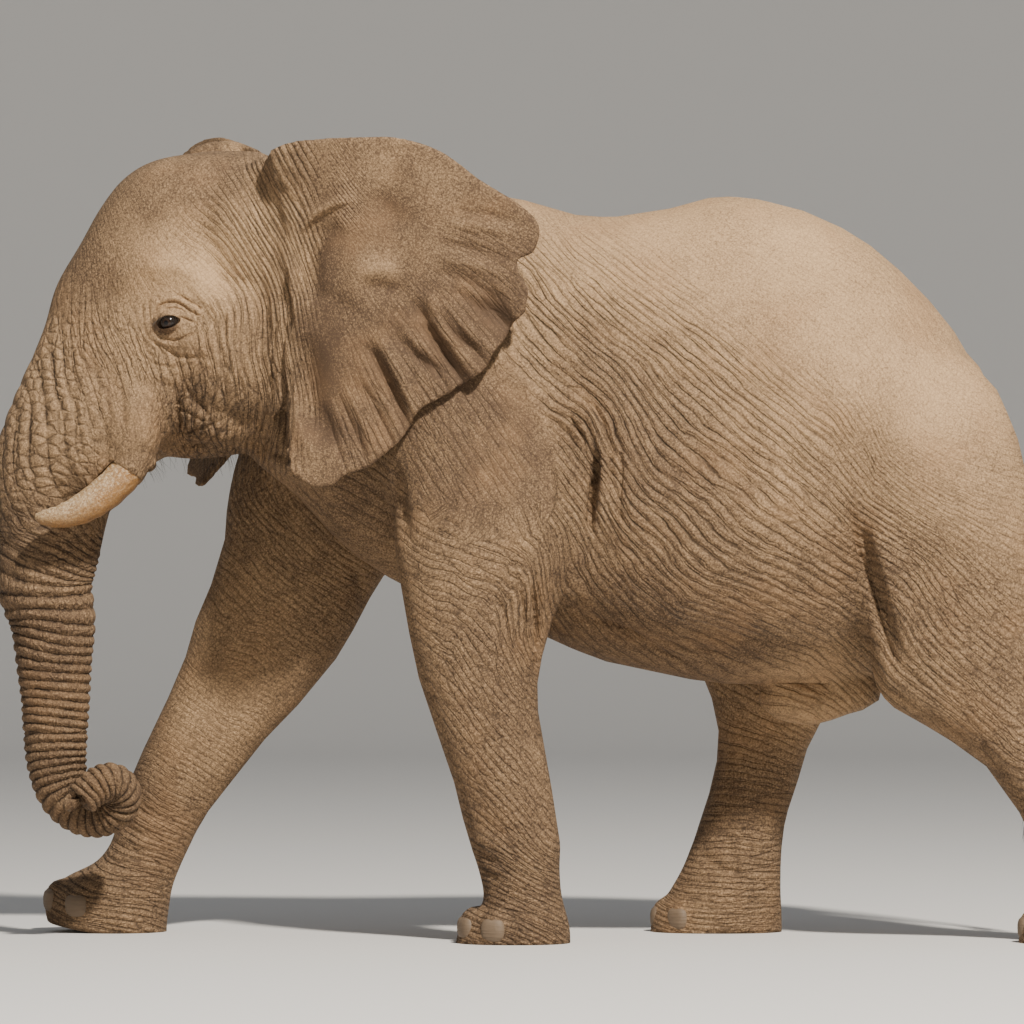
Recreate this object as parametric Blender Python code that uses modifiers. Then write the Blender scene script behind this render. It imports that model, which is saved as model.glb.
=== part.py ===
"""African bush elephant bull, life size, standing still in mid stride.

The animal faces -X, its left side is -Y, and it stands on the plane Z = 0. Metres.
The flesh is modelled whole from lofted forms, blended into one surface, and then parted
with thin cuts into head, neck, chest, rump, tail, trunk and legs. Ears, eyes and tusks are
made on their own and sit in fitted sockets.
"""

import math

import bmesh
import bpy
import numpy as np
from mathutils import Euler, Matrix, Vector

GAP = 0.001  # clearance between neighbouring pieces
CUT = 0.001  # thickness of the cuts that part the flesh
VOXEL = 0.022  # grid on which the forms are blended
SMOOTHINGS = 5
FLESH_TRIANGLES = 4000  # before the cuts
LEFT, RIGHT = -1, 1

# Sections across the body, from throat to rump: place along X, height of the back, height
# of the underside, half width, height of the widest point.
BODY = (
    (-1.48, 2.95, 2.20, 0.22, 2.66),
    (-1.36, 3.24, 2.08, 0.30, 2.66),
    (-1.20, 3.38, 1.95, 0.36, 2.64),
    (-0.98, 3.36, 1.72, 0.40, 2.54),
    (-0.74, 3.33, 1.56, 0.46, 2.42),
    (-0.48, 3.31, 1.45, 0.52, 2.28),
    (-0.20, 3.26, 1.37, 0.58, 2.12),
    (0.10, 3.185, 1.24, 0.64, 2.02),
    (0.41, 3.215, 1.165, 0.685, 1.96),
    (0.68, 3.275, 1.12, 0.70, 1.94),
    (0.96, 3.235, 1.12, 0.695, 1.96),
    (1.22, 3.13, 1.12, 0.65, 2.00),
    (1.44, 2.97, 1.20, 0.57, 2.05),
    (1.64, 2.76, 1.33, 0.45, 2.08),
    (1.765, 2.57, 1.50, 0.31, 2.05),
    (1.80, 2.36, 1.72, 0.15, 2.00),
)

# Level sections of the head, from crown to trunk root: height, front, back, half width
# near the front, half width near the back.
HEAD = (
    (3.470, -1.62, -1.36, 0.10, 0.12),
    (3.430, -1.83, -1.28, 0.20, 0.25),
    (3.350, -1.965, -1.20, 0.26, 0.33),
    (3.220, -2.068, -1.12, 0.30, 0.37),
    (3.060, -2.158, -1.08, 0.31, 0.385),
    (2.880, -2.262, -1.08, 0.28, 0.40),
    (2.690, -2.318, -1.10, 0.26, 0.42),
    (2.510, -2.395, -1.16, 0.27, 0.40),
    (2.340, -2.468, -1.36, 0.28, 0.36),
    (2.190, -2.518, -1.66, 0.28, 0.30),
    (2.050, -2.532, -1.90, 0.26, 0.26),
    (1.920, -2.532, -2.01, 0.235, 0.235),
    (1.780, -2.527, -2.055, 0.22, 0.22),
)

# Sections of the lower jaw: place along X, upper and lower edge, half width, widest height.
JAW = (
    (-1.20, 2.62, 2.26, 0.30, 2.42),
    (-1.36, 2.52, 2.165, 0.29, 2.33),
    (-1.52, 2.46, 2.125, 0.24, 2.28),
    (-1.68, 2.40, 2.115, 0.17, 2.24),
    (-1.80, 2.34, 2.13, 0.10, 2.22),
)

# Stations down the trunk: X, Y, Z, half depth, half width. It curls up at the bottom and
# its tip comes forward past the left of the coil.
TRUNK = (
    (-2.275, 0.00, 1.900, 0.240, 0.235),
    (-2.295, 0.00, 1.730, 0.228, 0.215),
    (-2.315, 0.00, 1.560, 0.212, 0.198),
    (-2.280, 0.00, 1.400, 0.190, 0.182),
    (-2.275, 0.00, 1.230, 0.170, 0.166),
    (-2.268, 0.00, 1.060, 0.153, 0.150),
    (-2.268, 0.00, 0.900, 0.142, 0.138),
    (-2.262, 0.00, 0.765, 0.132, 0.126),
    (-2.232, -0.01, 0.640, 0.116, 0.115),
    (-2.165, -0.025, 0.567, 0.107, 0.108),
    (-2.080, -0.050, 0.542, 0.101, 0.103),
    (-1.995, -0.090, 0.572, 0.094, 0.096),
    (-1.968, -0.145, 0.645, 0.088, 0.090),
    (-2.010, -0.205, 0.692, 0.084, 0.084),
    (-2.078, -0.250, 0.668, 0.082, 0.082),
    (-2.140, -0.275, 0.610, 0.076, 0.078),
)

# Stations of the tail, from inside the rump to the end of its tuft: X, Y, Z and radii.
TAIL = (
    (1.650, 0.000, 2.600, 0.085, 0.080),
    (1.765, 0.000, 2.460, 0.080, 0.075),
    (1.850, 0.000, 2.300, 0.066, 0.062),
    (1.905, 0.000, 2.120, 0.054, 0.052),
    (1.945, 0.000, 1.850, 0.045, 0.044),
    (1.985, 0.000, 1.550, 0.038, 0.038),
    (2.025, 0.000, 1.250, 0.033, 0.033),
    (2.050, 0.000, 1.020, 0.032, 0.034),
    (2.060, 0.000, 0.880, 0.036, 0.048),
    (2.060, 0.000, 0.740, 0.030, 0.040),
    (2.055, 0.000, 0.640, 0.018, 0.020),
)

# Level sections down each leg: height, front, back, middle across, half width.
LEGS = {
    "leg_front_left": (
        (2.66, -0.62, -0.06, -0.35, 0.20),
        (2.40, -0.70, 0.07, -0.38, 0.23),
        (2.14, -0.745, 0.115, -0.40, 0.25),
        (1.90, -0.762, 0.110, -0.42, 0.25),
        (1.70, -0.757, 0.055, -0.43, 0.245),
        (1.49, -0.722, -0.040, -0.44, 0.225),
        (1.23, -0.674, -0.118, -0.44, 0.205),
        (1.04, -0.618, -0.135, -0.44, 0.19),
        (0.87, -0.561, -0.110, -0.44, 0.182),
        (0.69, -0.500, -0.078, -0.44, 0.176),
        (0.45, -0.437, -0.040, -0.44, 0.170),
        (0.32, -0.395, -0.040, -0.44, 0.166),
        (0.21, -0.372, -0.032, -0.44, 0.172),
        (0.13, -0.395, -0.012, -0.44, 0.195),
        (0.05, -0.480, 0.006, -0.44, 0.215),
        (-0.06, -0.500, 0.006, -0.44, 0.215),
    ),
    "leg_front_right": (
        (2.66, -1.10, -0.35, 0.34, 0.20),
        (2.40, -1.34, -0.35, 0.37, 0.22),
        (2.16, -1.47, -0.43, 0.40, 0.245),
        (1.94, -1.525, -0.53, 0.42, 0.255),
        (1.74, -1.545, -0.69, 0.43, 0.25),
        (1.56, -1.603, -0.85, 0.44, 0.235),
        (1.39, -1.675, -0.94, 0.44, 0.22),
        (1.22, -1.724, -1.045, 0.44, 0.205),
        (1.03, -1.805, -1.20, 0.44, 0.19),
        (0.86, -1.886, -1.36, 0.44, 0.182),
        (0.68, -1.967, -1.50, 0.44, 0.176),
        (0.52, -2.015, -1.625, 0.44, 0.172),
        (0.38, -2.060, -1.70, 0.44, 0.172),
        (0.28, -2.125, -1.745, 0.44, 0.178),
        (0.20, -2.245, -1.775, 0.44, 0.195),
        (0.11, -2.335, -1.79, 0.44, 0.212),
        (0.03, -2.350, -1.80, 0.44, 0.215),
        (-0.06, -2.34, -1.80, 0.44, 0.21),
    ),
    "leg_hind_left": (
        (2.66, 1.34, 1.60, -0.22, 0.12),
        (2.45, 1.20, 1.84, -0.29, 0.21),
        (2.20, 1.15, 1.955, -0.35, 0.27),
        (1.84, 1.17, 2.025, -0.41, 0.295),
        (1.49, 1.25, 2.045, -0.43, 0.285),
        (1.23, 1.31, 2.060, -0.44, 0.255),
        (1.06, 1.37, 2.100, -0.44, 0.230),
        (0.925, 1.58, 2.150, -0.44, 0.205),
        (0.79, 1.785, 2.210, -0.44, 0.188),
        (0.65, 1.90, 2.285, -0.44, 0.178),
        (0.53, 1.978, 2.342, -0.44, 0.174),
        (0.40, 2.030, 2.395, -0.44, 0.174),
        (0.27, 2.048, 2.440, -0.44, 0.180),
        (0.16, 2.022, 2.475, -0.44, 0.192),
        (0.07, 1.965, 2.490, -0.44, 0.205),
        (-0.06, 1.95, 2.490, -0.44, 0.205),
    ),
    "leg_hind_right": (
        (2.56, 1.16, 1.56, 0.22, 0.12),
        (2.30, 0.98, 1.76, 0.31, 0.23),
        (1.95, 0.80, 1.80, 0.39, 0.275),
        (1.60, 0.63, 1.60, 0.42, 0.265),
        (1.36, 0.57, 1.40, 0.43, 0.245),
        (1.20, 0.585, 1.27, 0.43, 0.225),
        (1.08, 0.636, 1.20, 0.43, 0.212),
        (0.95, 0.674, 1.150, 0.43, 0.200),
        (0.82, 0.678, 1.080, 0.43, 0.188),
        (0.67, 0.651, 1.037, 0.43, 0.180),
        (0.52, 0.606, 0.988, 0.43, 0.175),
        (0.40, 0.565, 0.968, 0.43, 0.176),
        (0.28, 0.516, 0.961, 0.43, 0.183),
        (0.17, 0.453, 0.961, 0.43, 0.194),
        (0.07, 0.385, 0.966, 0.43, 0.205),
        (-0.06, 0.37, 0.966, 0.43, 0.205),
    ),
}

TOE_LIFT = 0.10  # the right forefoot lands heel first
PASTERN = 0.40  # height up to which the lift of the toes is felt

# Rounded muscles, fat and folds that fill out the lofted forms: centre, radii, tilt in
# degrees. Those of the first table lie on the middle line, those of the second on each side.
MIDDLE_MASSES = (
    ((1.06, 0.0, 1.06), (0.22, 0.13, 0.125), 0),  # sheath under the belly, front
    ((1.22, 0.0, 1.09), (0.17, 0.12, 0.10), 0),  # sheath under the belly, back
)
SIDE_MASSES = (
    ((-1.900, 0.285, 2.225), (0.125, 0.115, 0.20), 8),  # lip over the root of the tusk
    ((-1.46, 0.27, 2.60), (0.26, 0.16, 0.24), 0),  # cheek
    ((-0.50, 0.36, 2.20), (0.36, 0.27, 0.62), -8),  # shoulder
    ((1.36, 0.31, 2.20), (0.42, 0.32, 0.56), -22),  # hip
)

# The ear laid flat: how far behind the ear's root, and how high, each point of its free
# margin lies, from the top of the root round to the bottom of it.
EAR_MARGIN = (
    (-0.05, 3.445),
    (0.10, 3.480),
    (0.35, 3.490),
    (0.52, 3.483),
    (0.70, 3.422),
    (0.87, 3.298),
    (1.04, 3.190),
    (1.12, 3.095),
    (1.08, 2.950),
    (1.065, 2.800),
    (1.02, 2.680),
    (0.93, 2.560),
    (0.795, 2.420),
    (0.60, 2.290),
    (0.44, 2.110),
    (0.28, 2.010),
    (0.15, 1.980),
    (0.03, 2.045),
)
EAR_ROOT = ((-0.05, 3.36), (0.03, 3.22), (0.05, 3.03), (0.03, 2.86), (0.02, 2.70))
EAR_ROOT_X = -1.25
EAR_ROOT_Y = 0.36  # the root starts under the skin of the head
EAR_THICKNESS = 0.024
EAR_TURN = 0.13  # length over which either ear turns away from the head
EAR_RISE = 0.24  # how far the folded left ear stands out once it has turned
EAR_FLARE = 0.09  # and how much further out each metre of it lies behind the root
SPREAD = math.radians(34)  # the spread right ear points this far ahead of square
SPREAD_SHIFT = 0.06  # its root lies this much further forward
SPREAD_REACH = 0.12  # and its turn adds this much to its reach
SPREAD_LIFT = 0.195  # it climbs this much for each metre out
SPREAD_CUP, SPREAD_WAVE = 0.06, 2.4  # depth of its hollow, and how fast the hollow comes and goes
LOBE_SWEEP, LOBE_TOP, LOBE_LENGTH = 0.25, 2.6, 0.6  # its lower lobe swings forward

EYE = Vector((-1.745, 0.345, 2.703))
EYE_RADIUS = 0.042

# Stations of the tusk, from inside its sheath to its worn tip: X, Y, Z and radii.
TUSK = (
    (-1.872, 0.280, 2.190, 0.072, 0.070),
    (-1.926, 0.295, 2.065, 0.075, 0.072),
    (-2.015, 0.318, 1.968, 0.074, 0.071),
    (-2.110, 0.335, 1.898, 0.069, 0.067),
    (-2.210, 0.345, 1.857, 0.054, 0.053),
    (-2.290, 0.345, 1.850, 0.036, 0.036),
    (-2.330, 0.343, 1.855, 0.014, 0.014),
)

# Nails on each foot: bearing of each from straight ahead, in degrees.
NAILS = {
    "leg_front_left": (-66, -24, 20, 62),
    "leg_front_right": (-62, -20, 24, 66),
    "leg_hind_left": (-48, 0, 48),
    "leg_hind_right": (-48, 0, 48),
}
NAIL_RADII = (0.032, 0.052, 0.055)
NAIL_HEIGHT = 0.075
NAIL_SINK = 0.93  # share of the foot's own radius at which a nail is centred

COLOURS = {
    "skin": (0.36, 0.27, 0.19, 1.0),
    "tusk": (0.72, 0.55, 0.33, 1.0),
    "eye": (0.03, 0.022, 0.016, 1.0),
}
ROUGHNESS = {"skin": 0.9, "tusk": 0.45, "eye": 0.1}


def collection(name):
    made = bpy.data.collections.new(name)
    bpy.context.scene.collection.children.link(made)
    return made


def material(node, kind):
    made = bpy.data.materials.new(f"{node}_{kind}")
    made.use_nodes = True
    shader = made.node_tree.nodes["Principled BSDF"]
    shader.inputs["Base Color"].default_value = COLOURS[kind]
    shader.inputs["Roughness"].default_value = ROUGHNESS[kind]
    return made


def add_object(name, bm, home):
    mesh = bpy.data.meshes.new(name)
    bm.to_mesh(mesh)
    bm.free()
    obj = bpy.data.objects.new(name, mesh)
    home.objects.link(obj)
    if home == helpers:
        obj.hide_render = True
        obj.display_type = "WIRE"
    return obj


def fair(rows, count):
    """The rows of a table, read at an even count of stations on a smooth curve through them."""
    rows = np.array(rows, float)
    ends = np.vstack([2 * rows[0] - rows[1], rows, 2 * rows[-1] - rows[-2]])
    at = np.linspace(0, len(rows) - 1, count)
    first = np.minimum(at.astype(int), len(rows) - 2)
    t = (at - first)[:, None]
    a, b, c, d = (ends[first + k] for k in range(4))
    bend = (2 * a - 5 * b + 4 * c - d) * t**2 + (3 * b - a - 3 * c + d) * t**3
    return 0.5 * (2 * b + (c - a) * t + bend)


def turn(count):
    """Cosine and sine of each step round a section."""
    return [(math.cos(2 * math.pi * i / count), math.sin(2 * math.pi * i / count)) for i in range(count)]


def fuller(value, power):
    return math.copysign(abs(value) ** power, value)


def upright_ring(station, count=28):
    """Section across the body: a ridge above its widest point and a round belly below."""
    x, top, bottom, half_width, widest = station
    ring = []
    for rise, side in turn(count):
        reach = top - widest if rise > 0 else widest - bottom
        ring.append((x, half_width * fuller(side, 0.92), widest + reach * fuller(rise, 0.96)))
    return ring


def level_ring(station, lift=0.0, count=24):
    """Level section through a leg. A lift raises the toes of the foot off the ground."""
    z, front, back, middle, half_width = station
    centre, reach = (front + back) / 2, (back - front) / 2
    lift *= min(max(1 - z / PASTERN, 0.0), 1.0)
    ring = []
    for c, s in turn(count):
        place = (centre + reach * fuller(c, 0.92), middle + half_width * fuller(s, 0.92))
        ring.append((*place, z + lift * (1 - c) / 2))
    return ring


def head_ring(station, count=28):
    """Level section through the head, wider at its back than at its front."""
    z, front, back, half_front, half_back = station
    ring = []
    for c, s in turn(count):
        along = (1 - c) / 2
        half = half_front + (half_back - half_front) * along
        ring.append((front + (back - front) * along, half * fuller(s, 0.75), z))
    return ring


def tube_rings(stations, count=16, grow=0.0):
    """Rings square to a path, each with its own depth in the plane of the path and its own width."""
    rings = []
    places = [Vector(s[:3]) for s in stations]
    for i, (place, station) in enumerate(zip(places, stations)):
        ahead = places[min(i + 1, len(places) - 1)] - places[max(i - 1, 0)]
        ahead.normalize()
        side = (Vector((0, 1, 0)) - ahead * ahead.y).normalized()
        across = side.cross(ahead)
        depth, width = station[3] + grow, station[4] + grow
        rings.append([place + across * depth * c + side * width * s for c, s in turn(count)])
    if grow:
        start, end = places[0] - places[1], places[-1] - places[-2]
        rings[0] = [Vector(p) + start.normalized() * grow for p in rings[0]]
        rings[-1] = [Vector(p) + end.normalized() * grow for p in rings[-1]]
    return rings


def loft(rings):
    """A closed form through rings of equal count, with its two ends filled."""
    bm = bmesh.new()
    loops = []
    for ring in rings:
        made = bmesh.ops.create_circle(bm, segments=len(ring), radius=1)["verts"]
        for vert, point in zip(made, ring):
            vert.co = point
        loops.append(list(dict.fromkeys(e for v in made for e in v.link_edges)))
    for near, far in zip(loops, loops[1:]):
        bmesh.ops.bridge_loops(bm, edges=near + far)
    bmesh.ops.holes_fill(bm, edges=loops[0] + loops[-1])
    bmesh.ops.recalc_face_normals(bm, faces=bm.faces)
    return bm


def blob(centre, radii, tilt=0.0, segments=16):
    """An ellipsoid, turned about Y."""
    bm = bmesh.new()
    bmesh.ops.create_uvsphere(bm, u_segments=segments, v_segments=segments // 2, radius=1)
    bmesh.ops.scale(bm, vec=radii, verts=bm.verts)
    bmesh.ops.rotate(bm, cent=(0, 0, 0), matrix=Euler((0, tilt, 0)).to_matrix(), verts=bm.verts)
    bmesh.ops.translate(bm, vec=centre, verts=bm.verts)
    return bm


def mirrored(stations, side):
    return [(x, side * y, *rest) for x, y, *rest in stations]


def ear_point(side, along, height, root_distance):
    """Where a point of the flat ear lies on the animal: left ear folded back, right ear spread."""
    turned = 1 - math.exp(-max(root_distance, 0.0) / EAR_TURN)
    if side == LEFT:
        out = EAR_ROOT_Y + EAR_RISE * turned + EAR_FLARE * max(along, 0.0)
        return Vector((EAR_ROOT_X + along, -out, height))
    reach = along + SPREAD_REACH * turned
    hollow = SPREAD_CUP * math.sin(SPREAD_WAVE * max(reach, 0.0))
    sweep = LOBE_SWEEP * max(0.0, (LOBE_TOP - height) / LOBE_LENGTH) ** 2
    x = EAR_ROOT_X - SPREAD_SHIFT - reach * math.sin(SPREAD) + hollow - sweep
    lift = SPREAD_LIFT * max(reach, 0.0)
    return Vector((x, EAR_ROOT_Y + reach * math.cos(SPREAD), height + lift))


def ear(side, grow=0.0, rows=24, columns=7):
    """The ear's blade: a sheet from root to margin, given its thickness."""
    margin = fair(EAR_MARGIN, rows)
    root = fair(EAR_ROOT, rows)
    bm = bmesh.new()
    bmesh.ops.create_grid(bm, x_segments=rows - 1, y_segments=columns - 1, size=0.5)
    for vert in bm.verts:
        row = round((vert.co.x + 0.5) * (rows - 1))
        start, end = Vector(root[row]), Vector(margin[row])
        length = (end - start).length
        outward = (vert.co.y + 0.5) * (length + 2 * grow) - grow
        flat = start.lerp(end, outward / length)
        if row in (0, rows - 1):
            flat.x -= grow
        vert.co = ear_point(side, flat.x, flat.y, outward)
    bmesh.ops.remove_doubles(bm, verts=bm.verts, dist=0.004)
    bm.normal_update()
    half = EAR_THICKNESS / 2 + grow
    copy = bmesh.ops.duplicate(bm, geom=bm.verts[:] + bm.edges[:] + bm.faces[:])
    for vert in [v for v in copy["geom"] if isinstance(v, bmesh.types.BMVert)]:
        near = copy["vert_map"][vert]
        vert.co = near.co - near.normal * half
        near.co = near.co + near.normal * half
    bmesh.ops.reverse_faces(bm, faces=[f for f in copy["geom"] if isinstance(f, bmesh.types.BMFace)])
    bmesh.ops.bridge_loops(bm, edges=[e for e in bm.edges if e.is_boundary])
    bmesh.ops.triangulate(bm, faces=bm.faces)
    if bm.calc_volume(signed=True) < 0:
        bmesh.ops.reverse_faces(bm, faces=bm.faces)
    return bm


def tusk(side, grow=0.0):
    return loft(tube_rings(fair(mirrored(TUSK, side), 11), 12, grow))


def eyeball(side, grow=0.0):
    radius = EYE_RADIUS + grow
    return blob((EYE.x, side * EYE.y, EYE.z), (radius, radius, radius), segments=12)


def flesh_forms():
    """Every form that blends into the one skin."""
    forms = [
        loft([upright_ring(s) for s in fair(BODY, 40)]),
        loft([head_ring(s) for s in fair(HEAD, 34)]),
        loft([upright_ring(s, 20) for s in fair(JAW, 12)]),
        loft(tube_rings(fair(TRUNK, 60), 20)),
        loft(tube_rings(fair(TAIL, 34), 12)),
    ]
    for node, stations in LEGS.items():
        lift = TOE_LIFT if node == "leg_front_right" else 0.0
        forms.append(loft([level_ring(s, lift) for s in fair(stations, 44)]))
    for centre, radii, tilt in MIDDLE_MASSES:
        forms.append(blob(centre, radii, math.radians(tilt)))
    for (x, y, z), radii, tilt in SIDE_MASSES:
        for side in (LEFT, RIGHT):
            forms.append(blob((x, side * y, z), radii, math.radians(tilt)))
    return forms


def blended_flesh():
    """One closed surface over all the forms, smoothed, thinned out and stood on flat soles."""
    bm = bmesh.new()
    for form in flesh_forms():
        part = bpy.data.meshes.new("form")
        form.to_mesh(part)
        form.free()
        bm.from_mesh(part)
        bpy.data.meshes.remove(part)
    flesh = add_object("flesh", bm, helpers)
    remesh = flesh.modifiers.new("blend", "REMESH")
    remesh.mode = "VOXEL"
    remesh.voxel_size = VOXEL
    smooth = flesh.modifiers.new("smooth", "SMOOTH")
    smooth.factor = 0.5
    smooth.iterations = SMOOTHINGS
    flesh.modifiers.new("triangles", "TRIANGULATE")
    settle(flesh)
    thin = flesh.modifiers.new("thin", "DECIMATE")
    thin.ratio = FLESH_TRIANGLES / len(flesh.data.polygons)
    settle(flesh)
    whole = bmesh.new()
    whole.from_mesh(flesh.data)
    everything = whole.verts[:] + whole.edges[:] + whole.faces[:]
    bmesh.ops.bisect_plane(whole, geom=everything, plane_co=(0, 0, 0), plane_no=(0, 0, -1), clear_outer=True)
    bmesh.ops.holes_fill(whole, edges=[e for e in whole.edges if e.is_boundary])
    bmesh.ops.triangulate(whole, faces=whole.faces)
    bmesh.ops.recalc_face_normals(whole, faces=whole.faces)
    whole.to_mesh(flesh.data)
    whole.free()
    return flesh


def settle(obj):
    """Apply an object's modifiers."""
    graph = bpy.context.evaluated_depsgraph_get()
    mesh = bpy.data.meshes.new_from_object(obj.evaluated_get(graph))
    obj.modifiers.clear()
    obj.data = mesh


def boolean(obj, other, operation):
    cut = obj.modifiers.new(other.name, "BOOLEAN")
    cut.operation = operation
    cut.object = other
    settle(obj)


def nail_forms(node):
    """Nails round the front of a foot, low on its rim."""
    front, back, middle, half_width = LEGS[node][-2][1:]
    centre, reach = (front + back) / 2, (back - front) / 2
    forms = []
    for degrees in NAILS[node]:
        bearing = math.radians(degrees)
        x = centre - NAIL_SINK * reach * math.cos(bearing)
        y = middle + NAIL_SINK * half_width * math.sin(bearing)
        bm = blob((0, 0, 0), NAIL_RADII, segments=10)
        bmesh.ops.rotate(bm, cent=(0, 0, 0), matrix=Euler((0, 0, -bearing)).to_matrix(), verts=bm.verts)
        bmesh.ops.translate(bm, vec=(x, y, NAIL_HEIGHT), verts=bm.verts)
        forms.append(bm)
    return forms


def knife(centre, size, tilt=(0.0, 0.0, 0.0)):
    """A thin plate that parts two pieces of flesh."""
    bm = bmesh.new()
    bmesh.ops.create_cube(bm, size=1)
    bmesh.ops.scale(bm, vec=size, verts=bm.verts)
    bmesh.ops.rotate(bm, cent=(0, 0, 0), matrix=Euler([math.radians(a) for a in tilt]).to_matrix(), verts=bm.verts)
    bmesh.ops.translate(bm, vec=centre, verts=bm.verts)
    return bm


# Where the flesh is parted: centre, size and turn of each plate.
KNIVES = (
    ((-1.375, 0.0, 2.775), (CUT, 1.3, 1.80), (0, 17, 0)),  # head from neck
    ((-0.96, 0.0, 2.66), (CUT, 1.8, 2.20), (0, 37, 0)),  # neck from chest
    ((0.62, 0.0, 2.2), (CUT, 2.2, 2.60), (0, 0, 0)),  # chest from rump
    ((-2.30, 0.0, 1.79), (0.80, 0.9, CUT), (0, 0, 0)),  # trunk from head
    ((-2.28, 0.0, 1.30), (0.60, 0.6, CUT), (0, 0, 0)),  # trunk, upper from middle
    ((-2.27, 0.0, 0.80), (0.46, 0.5, CUT), (0, 0, 0)),  # trunk, middle from lower
    ((-2.10, -0.04, 0.545), (CUT, 0.27, 0.29), (0, 0, 0)),  # trunk, lower from tip
    ((1.945, 0.0, 2.12), (0.22, 0.14, CUT), (0, 0, 0)),  # tail from rump
    ((-0.36, -0.50, 1.36), (0.90, 0.60, CUT), (0, 14, 0)),  # left foreleg
    ((-1.30, 0.50, 1.40), (0.90, 0.60, CUT), (0, 0, 0)),  # right foreleg
    ((1.72, -0.52, 1.075), (0.90, 0.78, CUT), (0, 0, 0)),  # left hind leg
    ((0.90, 0.53, 1.06), (0.80, 0.74, CUT), (0, 0, 0)),  # right hind leg
)

# A point within each piece, by which the parted pieces are told apart.
PIECES = {
    "head": (-1.85, 0.0, 2.75),
    "neck": (-1.1, 0.0, 2.60),
    "chest": (0.0, 0.0, 2.2),
    "rump": (1.25, 0.0, 2.1),
    "tail": (2.0, 0.0, 1.4),
    "trunk_upper": (-2.30, 0.0, 1.55),
    "trunk_middle": (-2.27, 0.0, 1.05),
    "trunk_lower": (-2.24, 0.0, 0.68),
    "trunk_tip": (-2.03, -0.15, 0.63),
    "leg_front_left": (-0.35, -0.44, 0.7),
    "leg_front_right": (-1.70, 0.44, 0.7),
    "leg_hind_left": (2.05, -0.44, 0.5),
    "leg_hind_right": (0.83, 0.43, 0.5),
}


def islands(mesh):
    """The separate closed pieces of a mesh, each as its own bmesh."""
    bm = bmesh.new()
    bm.from_mesh(mesh)
    bm.faces.ensure_lookup_table()
    left = set(bm.faces)
    groups = []
    while left:
        group = set()
        open_faces = [min(left, key=lambda f: f.index)]
        while open_faces:
            face = open_faces.pop()
            if face in group:
                continue
            group.add(face)
            open_faces += [near for e in face.edges for near in e.link_faces if near not in group]
        left -= group
        groups.append({f.index for f in group})
    bm.free()
    pieces = []
    for group in groups:
        piece = bmesh.new()
        piece.from_mesh(mesh)
        piece.faces.ensure_lookup_table()
        bmesh.ops.delete(piece, geom=[f for f in piece.faces if f.index not in group], context="FACES")
        pieces.append(piece)
    return pieces


def middle_of(bm):
    corners = np.array([v.co for v in bm.verts])
    return Vector((corners.min(axis=0) + corners.max(axis=0)) / 2)


def build():
    flesh = blended_flesh()
    for side, name in ((LEFT, "left"), (RIGHT, "right")):
        for part, shape, kind in (("ear", ear, "skin"), ("tusk", tusk, "tusk"), ("eye", eyeball, "eye")):
            made = add_object(f"{part}_{name}", shape(side), animal)
            made.data.materials.append(material(made.name, kind))
            socket = add_object(f"socket_{made.name}", shape(side, GAP), helpers)
            boolean(flesh, socket, "DIFFERENCE")
    for i, plate in enumerate(KNIVES):
        boolean(flesh, add_object(f"knife_{i}", knife(*plate), helpers), "DIFFERENCE")
    for piece in islands(flesh.data):
        middle = middle_of(piece)
        name = min(PIECES, key=lambda node: (Vector(PIECES[node]) - middle).length)
        made = add_object(name, piece, animal)
        made.data.materials.append(material(name, "skin"))
        for i, form in enumerate(nail_forms(name) if name in NAILS else ()):
            boolean(made, add_object(f"nail_{name}_{i}", form, helpers), "UNION")


def stand_on_origin():
    """Bring the middle of the animal's box to the origin. Its soles already stand at Z = 0."""
    corners = np.array([v.co for piece in animal.objects for v in piece.data.vertices])
    middle = (corners.min(axis=0) + corners.max(axis=0)) / 2
    for piece in animal.objects:
        piece.data.transform(Matrix.Translation((-middle[0], -middle[1], 0)))


for old in list(bpy.data.objects):
    bpy.data.objects.remove(old)
animal = collection("african_bush_elephant")
helpers = collection("helpers")
build()
stand_on_origin()
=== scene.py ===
"""Looks of the life-size African bush elephant bull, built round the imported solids.

One skin covers every piece of flesh. Eyes, tusks, nails and hairs are pieces of their own.
Lengths are metres, but metres() and folds() take rows of whole millimetres, and a table that is
in hundredths says so. All are in the animal's own frame, in which it faces -X and the shoulder
line is near Y = 0. Each finished mesh is moved from there into the row's frame.
"""

import math

import bmesh
import bpy
import numpy as np
from mathutils import Euler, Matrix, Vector


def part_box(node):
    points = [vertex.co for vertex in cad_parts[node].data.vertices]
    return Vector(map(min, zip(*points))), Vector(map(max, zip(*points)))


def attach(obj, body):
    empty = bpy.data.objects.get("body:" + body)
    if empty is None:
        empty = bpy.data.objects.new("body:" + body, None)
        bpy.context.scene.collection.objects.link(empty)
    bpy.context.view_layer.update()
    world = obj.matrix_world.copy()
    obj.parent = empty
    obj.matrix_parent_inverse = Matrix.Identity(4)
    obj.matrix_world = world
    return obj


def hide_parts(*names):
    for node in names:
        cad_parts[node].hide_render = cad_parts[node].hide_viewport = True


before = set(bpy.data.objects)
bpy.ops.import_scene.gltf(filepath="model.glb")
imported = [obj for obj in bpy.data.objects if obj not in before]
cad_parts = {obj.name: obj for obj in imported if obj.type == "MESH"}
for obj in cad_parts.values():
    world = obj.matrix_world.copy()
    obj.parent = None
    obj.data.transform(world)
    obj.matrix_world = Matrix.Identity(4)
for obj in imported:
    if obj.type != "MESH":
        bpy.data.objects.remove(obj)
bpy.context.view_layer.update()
rng = np.random.default_rng(7)

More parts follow.
